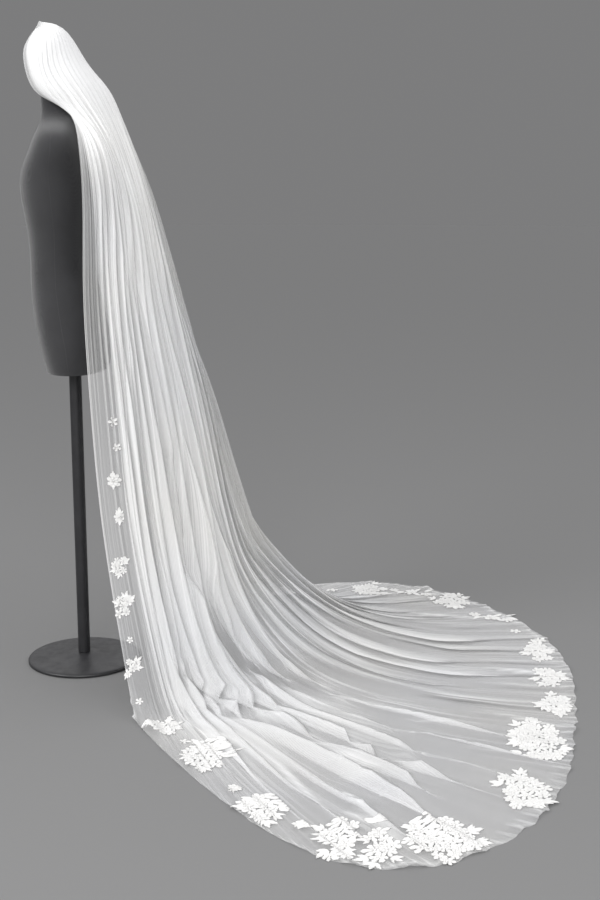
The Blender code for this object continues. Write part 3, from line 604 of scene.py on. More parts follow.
def relief(outline, rings, centre, middle_height):
    """A closed low relief: rings of the outline drawn in to its centre, each at a height, and a flat back."""
    outline = np.asarray(outline, float)
    count = len(outline)
    centre = np.asarray(centre, float)
    points = [np.column_stack([centre + (outline - centre) * scale, np.full(count, height)])
              for scale, height in rings]
    points.append(np.array([[*centre, middle_height], [*centre, 0.0]]))
    points = np.concatenate(points)
    step = np.arange(count)
    after = (step + 1) % count
    faces = []
    for ring in range(len(rings) - 1):
        low = ring * count
        faces.append(np.column_stack([low + step, low + after, low + count + after]))
        faces.append(np.column_stack([low + step, low + count + after, low + count + step]))
    last = (len(rings) - 1) * count
    top = len(points) - 2
    faces.append(np.column_stack([last + step, last + after, np.full(count, top)]))
    faces.append(np.column_stack([after, step, np.full(count, top + 1)]))
    return points, np.concatenate(faces)


def petal_shape():
    """A petal with a scalloped end, from the bloom's middle at 0 to its rim at 1."""
    angle = np.linspace(0, 2 * math.pi, 15, endpoint=False)
    reach = 1 + 0.09 * np.cos(6 * angle) * (np.cos(angle) > -0.2)
    x = 0.56 + 0.44 * reach * np.cos(angle)
    y = 0.335 * reach * np.sin(angle) * np.clip(0.40 + 0.75 * x, 0, 1)
    return relief(np.column_stack([x, y]), CORD_RINGS, (0.60, 0), 0.62)


def leaf_shape():
    """A pointed leaf with uneven sides, from its stem at 0 to its tip at 1."""
    x = np.array([0.00, 0.14, 0.30, 0.46, 0.62, 0.80, 1.00, 0.84, 0.66, 0.50, 0.33, 0.16])
    y = np.array([-0.02, -0.12, -0.19, -0.17, -0.18, -0.08, 0.00, 0.10, 0.13, 0.20, 0.16, 0.11])
    return relief(np.column_stack([x, y]), CORD_RINGS, (0.46, 0.0), 0.72)


def knot_shape():
    """A round knot of radius 1."""
    angle = np.linspace(0, 2 * math.pi, 8, endpoint=False)
    outline = np.column_stack([np.cos(angle), np.sin(angle)])
    return relief(outline, ((1.0, 0.0), (0.86, 0.9), (0.45, 1.5)), (0, 0), 1.6)


def plain_object(name, data):
    """An object in the scene that shows a mesh, a light or a camera."""
    obj = bpy.data.objects.new(name, data)
    bpy.context.scene.collection.objects.link(obj)
    return obj


def applied(holder):
    """The plain mesh that an object's modifier makes; the object is taken away."""
    graph = bpy.context.evaluated_depsgraph_get()
    made = bpy.data.meshes.new_from_object(holder.evaluated_get(graph))
    bpy.data.objects.remove(holder)
    return made


def put(tree, socket, value):
    """Give an input a link or a constant."""
    if isinstance(value, bpy.types.NodeSocket):
        tree.links.new(value, socket)
    elif value is not None:
        socket.default_value = value


def add_node(tree, kind, inputs=(), **settings):
    """A new node with its settings, and with a link or a constant for each input that is given."""
    node = tree.nodes.new(kind)
    for label, value in settings.items():
        setattr(node, label, value)
    for label, value in dict(inputs).items():
        put(tree, node.inputs[label], value)
    return node


def node_group(name, inputs, build):
    """A Geometry Nodes tree with named inputs, which ends in Realize Instances and Set Material."""
    tree = bpy.data.node_groups.new(name, "GeometryNodeTree")
    for label, kind in (("Geometry", "Geometry"), *inputs.items(), ("Material", "Material")):
        tree.interface.new_socket(label, in_out="INPUT", socket_type="NodeSocket" + kind)
    tree.interface.new_socket("Geometry", in_out="OUTPUT", socket_type="NodeSocketGeometry")
    given = tree.nodes.new("NodeGroupInput").outputs
    realized = add_node(tree, "GeometryNodeRealizeInstances", {0: build(tree, given)})
    painted = add_node(tree, "GeometryNodeSetMaterial", {
        "Geometry": realized.outputs[0], "Material": given["Material"]})
    add_node(tree, "NodeGroupOutput", {0: painted.outputs[0]})
    return tree


def run_nodes(name, mesh, tree, values):
    """The plain mesh that a node tree makes from a mesh and its inputs' values."""
    holder = plain_object(name, mesh)
    modifier = holder.modifiers.new("Nodes", "NODES")
    modifier.node_group = tree
    for item in tree.interface.items_tree:
        if item.in_out == "INPUT" and item.name in values:
            modifier[item.identifier] = values[item.name]
    made = applied(holder)
    made.name = name
    return made


def bloom_tree():
    """Petals set round a circle, a smaller and higher ring of them inside it, and a knot in the middle."""
    def build(tree, given):
        layers = tree.nodes.new("GeometryNodeJoinGeometry")
        for count, turn, size, lift in (("Petals", 0.0, "Petal size", 0.0),
                                        ("Inner petals", 0.4, "Inner size", 0.55)):
            circle = add_node(tree, "GeometryNodeMeshCircle", {"Radius": 0.05, "Vertices": given[count]})
            place = tree.nodes.new("GeometryNodeInputPosition")
            aim = add_node(tree, "FunctionNodeAlignRotationToVector", {"Vector": place.outputs[0]},
                           axis="X", pivot_axis="Z")
            petal = add_node(tree, "GeometryNodeObjectInfo", {"Object": given["Petal"]})
            spread = add_node(tree, "ShaderNodeCombineXYZ", {0: given[size], 1: given[size], 2: 1.0})
            ring = add_node(tree, "GeometryNodeInstanceOnPoints", {
                "Points": circle.outputs[0], "Instance": petal.outputs["Geometry"],
                "Rotation": aim.outputs[0], "Scale": spread.outputs[0]})
            moved = add_node(tree, "GeometryNodeTransform", {
                "Geometry": ring.outputs[0], "Translation": (0, 0, lift), "Rotation": (0, 0, turn)})
            tree.links.new(moved.outputs[0], layers.inputs[0])
        knot = add_node(tree, "GeometryNodeObjectInfo", {"Object": given["Knot"]})
        small = add_node(tree, "GeometryNodeTransform", {
            "Geometry": knot.outputs["Geometry"], "Scale": (0.15, 0.15, 1.35)})
        tree.links.new(small.outputs[0], layers.inputs[0])
        return layers.outputs[0]

    return node_group("Lace bloom", {
        "Petal": "Object", "Knot": "Object", "Petals": "Int", "Inner petals": "Int", "Petal size": "Float",
        "Inner size": "Float"}, build)


def stitch_tree():
    """Short rounded stitches laid end to end along a path, each a little apart from the next."""
    def build(tree, given):
        path = add_node(tree, "GeometryNodeMeshToCurve", {"Mesh": given["Geometry"]})
        spaced = add_node(tree, "GeometryNodeResampleCurve", {
            "Curve": path.outputs[0], "Length": given["Spacing"]}, mode="LENGTH")
        bead = add_node(tree, "GeometryNodeMeshUVSphere", {"Segments": 6, "Rings": 4, "Radius": 1.0})
        heading = tree.nodes.new("GeometryNodeInputTangent")
        aim = add_node(tree, "FunctionNodeAlignRotationToVector", {"Vector": heading.outputs[0]}, axis="X")
        size = add_node(tree, "ShaderNodeCombineXYZ", {
            0: given["Length"], 1: given["Thickness"], 2: given["Thickness"]})
        placed = add_node(tree, "GeometryNodeInstanceOnPoints", {
            "Points": spaced.outputs[0], "Instance": bead.outputs["Mesh"], "Rotation": aim.outputs[0],
            "Scale": size.outputs[0]})
        return placed.outputs[0]

    numbers = dict.fromkeys(("Spacing", "Length", "Thickness"), "Float")
    return node_group("Stitches along a path", numbers, build)


def row_tree():
    """Copies of one thing set along a straight line that is centred on the origin."""
    def build(tree, given):
        def reach(share):
            """The point on the x axis at a share of the width."""
            scaled = add_node(tree, "ShaderNodeMath", {0: given["Width"], 1: share}, operation="MULTIPLY")
            return add_node(tree, "ShaderNodeCombineXYZ", {0: scaled.outputs[0]}).outputs[0]

        start, whole = reach(-0.5), reach(1.0)
        spaces = add_node(tree, "ShaderNodeMath", {0: given["Count"], 1: 1.0}, operation="SUBTRACT")
        share = add_node(tree, "ShaderNodeMath", {0: 1.0, 1: spaces.outputs[0]}, operation="DIVIDE")
        step = add_node(
            tree, "ShaderNodeVectorMath", {0: whole, "Scale": share.outputs[0]}, operation="SCALE")
        line = add_node(tree, "GeometryNodeMeshLine", {
            "Count": given["Count"], "Start Location": start, "Offset": step.outputs[0]})
        thing = add_node(tree, "GeometryNodeObjectInfo", {"Object": given["Thing"]})
        placed = add_node(tree, "GeometryNodeInstanceOnPoints", {
            "Points": line.outputs[0], "Instance": thing.outputs["Geometry"]})
        return placed.outputs[0]

    return node_group("Row of copies", {"Thing": "Object", "Width": "Float", "Count": "Int"}, build)


def triangles_of(mesh):
    """A mesh's points and its triangles as arrays."""
    mesh.calc_loop_triangles()
    points = np.empty(len(mesh.vertices) * 3, np.float32)
    mesh.vertices.foreach_get("co", points)
    faces = np.empty(len(mesh.loop_triangles) * 3, np.int32)
    mesh.loop_triangles.foreach_get("vertices", faces)
    return points.reshape(-1, 3).astype(float), faces.reshape(-1, 3)


def merged(parts):
    """One set of points and triangles from several."""
    starts = np.cumsum([0] + [len(points) for points, faces in parts[:-1]])
    return (np.concatenate([points for points, faces in parts]),
            np.concatenate([faces + start for (points, faces), start in zip(parts, starts)]))


def placed_shape(shape, x, y, size, turn, order):
    """A lace shape turned, sized and moved on the flat; each later one lies a little higher."""
    points, faces = shape
    c, s = math.cos(turn), math.sin(turn)
    moved = np.empty_like(points)
    moved[:, 0] = x + size * (points[:, 0] * c - points[:, 1] * s)
    moved[:, 1] = y + size * (points[:, 0] * s + points[:, 1] * c)
    moved[:, 2] = LACE_LIFT + LACE_RELIEF * (points[:, 2] * min(size / 0.012, 1.0) + 0.10 * (order % 4))
    return moved, faces


def sprig(shapes, rng, x, y, heading, length):
    """Three leaves that fan out from one point."""
    parts = []
    for order, (fan, share) in enumerate(((-0.75, 0.75), (0.7, 0.8), (0.0, 1.0))):
        turn = heading + fan + rng.uniform(-0.15, 0.15)
        size = length * share * rng.uniform(0.9, 1.1)
        parts.append(placed_shape(shapes["leaf"], x, y, size, turn, order))
    return parts


def cluster(shapes, rng, width, height):
    """Blooms packed in an uneven oval, with sprigs of leaves that reach out of it."""
    radius = min(BLOOM_RADIUS, 0.22 * math.sqrt(width * height))
    inner = np.maximum(np.array([width, height]) / 2 - 0.55 * radius, 0.001)
    phase = rng.uniform(0, 2 * math.pi, 3)
    parts = []
    for place in rng.uniform(0, 2 * math.pi, max(3, int(math.hypot(width, height) / 0.032))):
        edge = 0.80 + 0.15 * math.sin(3 * place + phase[0])
        start = inner * edge * np.array([math.cos(place), math.sin(place)])
        parts += sprig(shapes, rng, *start, place + rng.uniform(-0.3, 0.3), 1.75 * radius)
    step = 1.42 * radius
    order = 0
    for row in range(-12, 13):
        for column in range(-12, 13):
            x = (column + 0.5 * (row % 2)) * step
            y = row * step * 0.87
            x += rng.uniform(-0.22, 0.22) * radius
            y += rng.uniform(-0.22, 0.22) * radius
            angle = math.atan2(y / inner[1], x / inner[0])
            edge = 0.93 + 0.17 * math.sin(2 * angle + phase[1]) * math.sin(3 * angle + phase[2])
            away = math.hypot(x / inner[0], y / inner[1])
            if away > edge and (row or column):
                continue
            kind = ("bloom", "bloom", "double", "round")[rng.integers(4)]
            size = radius * rng.uniform(0.80, 1.12)
            parts.append(placed_shape(shapes[kind], x, y, size, rng.uniform(0, 2 * math.pi), order))
            order += 1
    return parts


def spray(shapes, rng, width, height):
    """A stem of paired leaves with a bloom at its foot."""
    parts = []
    length = max(width, height) / 2
    for side, leaves in ((-1, 4), (1, 4)):
        for leaf in range(leaves):
            share = 0.22 + 0.2 * leaf
            turn = side * (0.9 - 0.12 * leaf) + (0 if leaf % 2 else math.pi)
            x = (share - 0.35) * width * (1 if leaf % 2 else -1) * 0.8
            parts.append(placed_shape(shapes["leaf"], x, side * 0.06 * height, 0.62 * length, turn, leaf))
    for x, y, size in ((0.0, 0.0, 0.42), (-0.42, 0.22, 0.26), (0.40, -0.20, 0.28)):
        turn = rng.uniform(0, 6)
        parts.append(placed_shape(shapes["bloom"], x * width, y * height, size * length, turn, 3))
    return parts


def flower(shapes, rng, width, height):
    """One bloom with a small sprig at each end."""
    size = min(width, height) / 2
    parts = sprig(shapes, rng, 0, 0.3 * size, math.pi / 2, height / 2 - 0.3 * size)
    parts += sprig(shapes, rng, 0, -0.3 * size, -math.pi / 2, height / 2 - 0.3 * size)
    parts.append(placed_shape(shapes["double"], 0, 0, 1.05 * size, rng.uniform(0, 6), 3))
    return parts


def bud(shapes, rng, width, height):
    """One small round bloom."""
    return [placed_shape(shapes["round"], 0, 0, math.sqrt(width * height) / 2, rng.uniform(0, 6), 0)]


LACE_KINDS = dict(cluster=cluster, spray=spray, flower=flower, bud=bud)


def torso_cage():
    """The torso's control cage: its points, its faces, and the rims that stay sharp."""
    points = []
    for height, front, back, half_width in TORSO_SECTIONS:
        for step in range(TORSO_SIDES):
            angle = 2 * math.pi * step / TORSO_SIDES
            c, s = math.cos(angle), math.sin(angle)
            x = math.copysign(abs(c) ** TORSO_SQUARENESS, c)
            y = math.copysign(abs(s) ** TORSO_SQUARENESS, s)
            points.append(((front + back) / 2 + x * (back - front) / 2, y * half_width, height))
    faces = []
    for low in range(0, len(points) - TORSO_SIDES, TORSO_SIDES):
        for step in range(TORSO_SIDES):
            after = (step + 1) % TORSO_SIDES
            faces.append((low + step, low + after, low + TORSO_SIDES + after, low + TORSO_SIDES + step))
    last = len(points) - TORSO_SIDES
    faces.append(tuple(reversed(range(TORSO_SIDES))))
    faces.append(tuple(range(last, len(points))))
    mesh = bpy.data.meshes.new("torso_cage")
    mesh.from_pydata(points, [], faces)
    mesh.update()
    crease = mesh.attributes.new("crease_edge", "FLOAT", "EDGE")
    for edge in mesh.edges:
        ends = edge.vertices
        if max(ends) < TORSO_SIDES or min(ends) >= last:
            crease.data[edge.index].value = 1.0
    return mesh


def subdivided(mesh, levels):
    """A mesh's smooth subdivision as a plain mesh."""
    holder = plain_object(mesh.name, mesh)
    smooth = holder.modifiers.new("Smooth", "SUBSURF")
    smooth.levels = levels
    smooth.render_levels = levels
    return applied(holder)


def outward_mesh(name, shape):
    """A mesh from a bmesh, with its normals turned out; the bmesh is freed."""
    bmesh.ops.recalc_face_normals(shape, faces=shape.faces[:])
    mesh = bpy.data.meshes.new(name)
    shape.to_mesh(mesh)
    shape.free()
    return mesh


def polyline(name, lines):
    """A mesh of edges alone that follows lines of points."""
    points = []
    edges = []
    for line in lines:
        edges += [(len(points) + k, len(points) + k + 1) for k in range(len(line) - 1)]
        points += [tuple(point) for point in line]
    mesh = bpy.data.meshes.new(name)
    mesh.from_pydata(points, edges, [])
    return mesh


def frame_matrix(origin, x_axis, z_axis):
    """A placing matrix from an origin, a z axis, and an x axis that is squared to it."""
    z_axis = Vector(z_axis).normalized()
    x_axis = Vector(x_axis)
    x_axis = (x_axis - x_axis.dot(z_axis) * z_axis).normalized()
    turned = Matrix((x_axis, z_axis.cross(x_axis), z_axis)).transposed()
    return Matrix.Translation(Vector(origin)) @ turned.to_4x4()


def turned_profile(name, profile, steps):
    """A solid turned round the stand's axis from half of its section."""
    holder = plain_object(name, polyline(name, [[(x, 0, z) for x, z in profile]]))
    screw = holder.modifiers.new("Turn", "SCREW")
    screw.steps = steps
    screw.render_steps = steps
    screw.use_merge_vertices = True
    screw.merge_threshold = 0.0001
    shape = bmesh.new()
    shape.from_mesh(applied(holder))
    return outward_mesh(name, shape)


def pole_profile():
    """Half of the pole's section, with its edges eased, from the top down."""
    low, high = POLE_ENDS
    ease = 0.001
    return ((0, high), (POLE_RADIUS - ease, high), (POLE_RADIUS, high - ease), (POLE_RADIUS, low + ease),
            (POLE_RADIUS - ease, low), (0, low))


def bridged(shape, rings, closed=False):
    """Quads between each ring of a bmesh's vertices and the next, and from last to first if closed."""
    pairs = list(zip(rings, rings[1:] + rings[:1]))
    for first, second in pairs if closed else pairs[:-1]:
        for k in range(len(first)):
            after = (k + 1) % len(first)
            shape.faces.new((first[k], first[after], second[after], second[k]))


def tapered_rod(start_radius, end_radius, length):
    """A round rod from the origin along -Y, with eased ends."""
    rod = bmesh.new()
    ease = min(end_radius, start_radius) * 0.5
    stations = ((0.0, 0.45 * start_radius), (ease, start_radius), (length - ease, end_radius),
                (length, 0.4 * end_radius))
    turns = [k * math.pi / 6 for k in range(12)]
    rings = [[rod.verts.new((radius * math.cos(turn), -along, radius * math.sin(turn))) for turn in turns]
             for along, radius in stations]
    bridged(rod, rings)
    rod.faces.new(rings[0])
    rod.faces.new(rings[-1])
    return outward_mesh("rod", rod)


def ring_mesh(radius, thickness):
    """A ring of thread round the x axis."""
    ring = bmesh.new()
    circles = []
    for k in range(14):
        turn = 2 * math.pi * k / 14
        circle = []
        for side in range(6):
            reach = radius + thickness * math.cos(side * math.pi / 3)
            circle.append(ring.verts.new((thickness * math.sin(side * math.pi / 3), reach * math.cos(turn),
                                          reach * math.sin(turn))))
        circles.append(circle)
    bridged(ring, circles, closed=True)
    return outward_mesh("ring", ring)


def lace_shapes(material):
    """The lace's flat shapes: a leaf, and the blooms that a node tree sets out from one petal."""
    petal = plain_object("petal", quick_mesh("petal", *petal_shape()))
    knot = plain_object("knot", quick_mesh("knot", *knot_shape()))
    tree = bloom_tree()
    shapes = dict(leaf=leaf_shape())
    for name, petals, inner, petal_size, inner_size in BLOOMS:
        shapes[name] = triangles_of(run_nodes(name, bpy.data.meshes.new(name), tree, {
            "Petal": petal, "Knot": knot, "Petals": petals, "Inner petals": inner, "Petal size": petal_size,
            "Inner size": inner_size, "Material": material}))
    bpy.data.objects.remove(petal)
    bpy.data.objects.remove(knot)
    return shapes


def add_piece(name, mesh, material):
    """A finished piece of the part: it rides on the frame and takes the material that it is given."""
    obj = plain_object(name, mesh)
    mesh.materials.clear()
    mesh.materials.append(material)
    mesh.shade_smooth()
    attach(obj, "root")
    return obj


class Finish:
    """A material with short ways to add its nodes."""

    def __init__(self, name, colour, roughness, **shader_values):
        self.material = bpy.data.materials.new(name)
        self.material.use_nodes = True
        self.tree = self.material.node_tree
        self.shader = self.tree.nodes["Principled BSDF"]
        self.set("Base Color", (*colour, 1))
        self.set("Roughness", roughness)
        for label, value in shader_values.items():
            self.set(label.replace("_", " "), value)

    def set(self, label, value):
        """Give an input of the shader a link or a constant."""
        put(self.tree, self.shader.inputs[label], value)

    def math(self, operation, *values):
        """A sum on links and constants."""
        return add_node(self.tree, "ShaderNodeMath", enumerate(values), operation=operation).outputs[0]

    def attribute(self, name):
        """A value that the mesh carries at each point."""
        return add_node(self.tree, "ShaderNodeAttribute", attribute_name=name).outputs["Fac"]

    def coordinates(self, uv=None, scale=(1, 1, 1)):
        """Object coordinates, or a UV map's where it is named, in metres times a scale."""
        if uv:
            source = add_node(self.tree, "ShaderNodeUVMap", uv_map=uv).outputs["UV"]
        else:
            source = add_node(self.tree, "ShaderNodeTexCoord").outputs["Object"]
        return add_node(self.tree, "ShaderNodeMapping", {"Vector": source, "Scale": scale}).outputs[0]

    def noise(self, vector, scale, detail=2.0):
        """Soft noise from 0 to 1."""
        return add_node(self.tree, "ShaderNodeTexNoise", {
            "Vector": vector, "Scale": scale, "Detail": detail, "Roughness": 0.5}).outputs["Fac"]

    def stripes(self, vector, direction, spacing):
        """A cosine wave along a direction, one wave for each spacing."""
        turns = [part * 2 * math.pi / spacing for part in direction]
        along = add_node(self.tree, "ShaderNodeVectorMath", {0: vector, 1: turns}, operation="DOT_PRODUCT")
        return self.math("COSINE", along.outputs["Value"])

    def spread(self, value, low, high, to_low, to_high):
        """A value between two bounds, carried over to two others."""
        spread = add_node(self.tree, "ShaderNodeMapRange", {
            "Value": value, "From Min": low, "From Max": high, "To Min": to_low, "To Max": to_high})
        return spread.outputs["Result"]

    def tint(self, value, first, second):
        """The base colour, between two colours."""
        ramp = add_node(self.tree, "ShaderNodeValToRGB", {"Fac": value})
        for element, colour, position in zip(ramp.color_ramp.elements, (first, second), (0.3, 0.7)):
            element.color = (*colour, 1)
            element.position = position
        self.set("Base Color", ramp.outputs["Color"])

    def gloss(self, value, low, high):
        """A roughness that is uneven between two values."""
        self.set("Roughness", self.spread(value, 0.3, 0.7, low, high))

    def bump(self, height, strength, distance):
        """A fine relief from a height."""
        self.set("Normal", add_node(self.tree, "ShaderNodeBump", {
            "Strength": strength, "Distance": distance, "Height": height}).outputs[0])


def shade(colour, factor):
    """A colour made lighter or darker."""
    return tuple(min(part * factor, 1.0) for part in colour)


def tulle_material(colour, density):
    """Sheer net: each thickness lets most light through, gathered net less, and net seen edge-on least."""
    finish = Finish(
        "sheer_tulle", colour, 0.75, Specular_IOR_Level=0.15, Sheen_Weight=0.25, Sheen_Roughness=0.4)
    net = finish.coordinates(uv="cloth")
    ways = ((1, 0, 0), (-0.5, 0.866, 0), (-0.5, -0.866, 0))
    first, second, third = (finish.stripes(net, way, NET_MESH) for way in ways)
    weave = finish.math("ADD", first, finish.math("ADD", second, third))
    threads = finish.spread(weave, -0.9, 0.6, 1.0, 0.0)

    broad = finish.noise(finish.coordinates(uv="cloth", scale=(1, 0.020, 1)), 26, 1)
    streak = finish.spread(broad, 0.32, 0.68, -0.55, 0.55)
    for scale, stretch, amount in FINE_STREAKS:
        drift = finish.noise(finish.coordinates(uv="cloth", scale=(1, stretch, 1)), scale, 1)
        away = finish.math("ABSOLUTE", finish.math("MULTIPLY_ADD", drift, 2.0, -1.0))
        line = finish.math("POWER", finish.math("SUBTRACT", 1.0, away), 14.0)
        streak = finish.math("MULTIPLY_ADD", line, amount, streak)
    uneven = finish.math("MAXIMUM", finish.math(
        "MULTIPLY_ADD", finish.math("SUBTRACT", streak, 0.25), finish.attribute("streaks"), 1.0), 0.25)

    slant = add_node(finish.tree, "ShaderNodeLayerWeight", {"Blend": 0.5})
    square_on = finish.math("SUBTRACT", 1.10, slant.outputs["Facing"])
    depth = finish.math("DIVIDE", finish.attribute("gathers"), square_on)
    depth = finish.math("MULTIPLY", depth, uneven)
    depth = finish.math("MULTIPLY", depth, finish.spread(threads, 0, 1, 0.80 * density, 1.45 * density))
    passed = finish.math("EXPONENT", finish.math("MULTIPLY", depth, -1.0))
    finish.set("Alpha", finish.math("SUBTRACT", 1.0, passed))

    patches = finish.noise(finish.coordinates(), 3.0, 1)
    finish.tint(patches, colour, (colour[0] * 0.97, colour[1] * 0.98, colour[2] * 1.01))
    finish.set("Roughness", finish.spread(threads, 0, 1, 0.85, 0.65))
    finish.bump(threads, 0.25, 0.0002)
    return finish.material


def lace_material(colour):
    """Matt cotton cord and satin stitches."""
    finish = Finish("corded_lace", colour, 0.7, Sheen_Weight=0.3, Sheen_Roughness=0.35)
    place = finish.coordinates()
    threads = finish.stripes(place, (0.62, 0.62, 0.48), 0.0011)
    fibres = finish.noise(place, 1400, 3)
    finish.tint(finish.noise(place, 60, 3), shade(colour, 0.94), colour)
    finish.gloss(fibres, 0.62, 0.86)
    finish.bump(finish.math("ADD", finish.math("MULTIPLY", threads, 0.5), fibres), 0.35, 0.0003)
    return finish.material


def jersey_material(colour):
    """Knitted jersey: ribs of loops 1.7 mm apart, brushed and slightly faded in places."""
    finish = Finish("form_jersey", colour, 0.9, Sheen_Weight=0.45, Sheen_Roughness=0.45)
    place = finish.coordinates()
    courses = finish.stripes(place, (0, 0, 1), 0.0013)
    wales = finish.math("ADD", *(finish.stripes(place, way, 0.0017) for way in ((1, 0, 0), (0, 1, 0))))
    loops = finish.math("MULTIPLY", courses, wales)
    fluff = finish.noise(place, 700, 4)
    finish.tint(finish.noise(place, 14, 4), shade(colour, 0.82), shade(colour, 1.18))
    finish.gloss(fluff, 0.80, 0.98)
    finish.bump(finish.math("ADD", finish.math("MULTIPLY", loops, 0.4), fluff), 0.45, 0.0006)
    return finish.material


def thread_material(colour):
    """Plain sewing thread with its twist."""
    finish = Finish("sewing_thread", colour, 0.6, Sheen_Weight=0.2)
    place = finish.coordinates()
    finish.tint(finish.noise(place, 300, 2), shade(colour, 0.9), colour)
    finish.bump(finish.stripes(place, (0.6, 0.6, 0.5), 0.0004), 0.3, 0.0001)
    return finish.material


def steel_material(colour):
    """Powder-coated steel: a fine orange-peel skin with slightly uneven gloss."""
    finish = Finish("coated_steel", colour, 0.4, Metallic=0.1, Coat_Weight=0.15, Coat_Roughness=0.3)
    place = finish.coordinates()
    finish.tint(finish.noise(place, 9, 4), shade(colour, 0.8), shade(colour, 1.3))
    finish.gloss(finish.noise(place, 40, 5), 0.30, 0.52)
    finish.bump(finish.noise(place, 900, 2), 0.25, 0.0003)
    return finish.material


def comb_material(colour):
    """Moulded clear plastic with a warm tint."""
    finish = Finish("comb_plastic", colour, 0.25, Transmission_Weight=0.35, IOR=1.49)
    place = finish.coordinates()
    finish.tint(finish.noise(place, 160, 2), shade(colour, 0.9), shade(colour, 1.08))
    finish.gloss(finish.noise(place, 500, 3), 0.18, 0.36)
    finish.bump(finish.noise(place, 1200, 2), 0.1, 0.0002)
    return finish.material


def floor_material(colour):
    """A matt floor."""
    finish = Finish("studio_floor", colour, 0.85, Specular_IOR_Level=0.2)
    finish.bump(finish.noise(finish.coordinates(), 60, 4), 0.05, 0.001)
    return finish.material


class VeilSettings(bpy.types.PropertyGroup):
    """Sizes and colours of the veil and its form."""

    net_density: FloatProperty(
        name="Net density", description="How much light one face of the net stops", default=0.085,
        min=0.01, max=1.0)
    lace_seed: IntProperty(
        name="Lace layout", description="Number that the lace's uneven layout starts from", default=4, min=0)
    stitch_spacing: FloatProperty(
        name="Stitch spacing", description="Distance from one sewn stitch to the next", default=0.0045,
        min=0.001, subtype="DISTANCE", unit="LENGTH")
    tulle_colour: FloatVectorProperty(
        name="Tulle", description="Colour of the net", default=(0.90, 0.895, 0.88), subtype="COLOR", size=3)
    lace_colour: FloatVectorProperty(
        name="Lace", description="Colour of the lace", default=(0.80, 0.795, 0.785), subtype="COLOR", size=3)
    form_colour: FloatVectorProperty(
        name="Form", description="Colour of the form's jersey", default=(0.026, 0.026, 0.028),
        subtype="COLOR", size=3)
    stand_colour: FloatVectorProperty(
        name="Stand", description="Colour of the stand's coat", default=(0.020, 0.020, 0.022),
        subtype="COLOR", size=3)
    comb_colour: FloatVectorProperty(
        name="Comb", description="Colour of the comb's plastic", default=(0.62, 0.54, 0.48),
        subtype="COLOR", size=3)


class StageSettings(bpy.types.PropertyGroup):
    """The floor, the light and the lens."""

    floor_colour: FloatVectorProperty(
        name="Floor", description="Colour of the studio floor", default=(0.205, 0.205, 0.205),
        subtype="COLOR", size=3)
    dome_strength: FloatProperty(
        name="Dome", description="Strength of the soft light from all round", default=0.80, min=0.0)
    lamp_strength: FloatProperty(
        name="Lamps", description="Strength of the soft lamps, as a share of the usual", default=0.80,
        min=0.0)
    lens: FloatProperty(
        name="Lens", description="Focal length of the camera", default=54.32, min=10.0,
        subtype="DISTANCE_CAMERA")


class VEIL_OT_stage(bpy.types.Operator):
    """Make the floor, the lights and the camera"""

    bl_idname = "veil.stage"
    bl_label = "Stage"

    def execute(self, context):
        scene = context.scene
        settings = scene.veil_stage
        plate = bmesh.new()
        bmesh.ops.create_circle(plate, cap_ends=True, segments=96, radius=FLOOR_RADIUS)
        bmesh.ops.translate(plate, vec=(0, 0, -0.0005), verts=plate.verts[:])
        mesh = bpy.data.meshes.new("studio_floor")
        plate.to_mesh(mesh)
        plate.free()
        floor = plain_object("studio_floor", mesh)
        mesh.materials.append(floor_material(settings.floor_colour))

        for name, place, target, size, power in LAMPS:
            data = bpy.data.lights.new(name, "AREA")
            data.size = size
            data.energy = power * settings.lamp_strength
            light = plain_object(name, data)
            light.location = place
            light.rotation_euler = (Vector(target) - Vector(place)).to_track_quat("-Z", "Y").to_euler()

        world = bpy.data.worlds.new("studio")
        world.use_nodes = True
        tree = world.node_tree
        place = tree.nodes.new("ShaderNodeTexCoord")
        split = add_node(tree, "ShaderNodeSeparateXYZ", {0: place.outputs["Generated"]})
        ramp = add_node(tree, "ShaderNodeValToRGB", {"Fac": split.outputs["Z"]})
        elements = ramp.color_ramp.elements
        while len(elements) < len(DOME):
            elements.new(0.5)
        for element, (height, level) in zip(elements, DOME):
            element.position = height
            element.color = (level, level, level * 1.01, 1)
        sky = tree.nodes["Background"]
        put(tree, sky.inputs["Color"], ramp.outputs["Color"])
        put(tree, sky.inputs["Strength"], settings.dome_strength)
        scene.world = world

        data = bpy.data.cameras.new("camera")
        data.sensor_width = 36
        data.lens = settings.lens
        data.clip_end = 100
        camera = plain_object("camera", data)
        camera.location = CAMERA_PLACE
        camera.rotation_euler = (CAMERA_TILT, 0, 0)
        scene.camera = camera
        scene.view_settings.view_transform = "Standard"
        scene.cycles.transparent_max_bounces = 64
        scene.cycles.max_bounces = 6
        scene.cycles.diffuse_bounces = 2
        return {"FINISHED"}


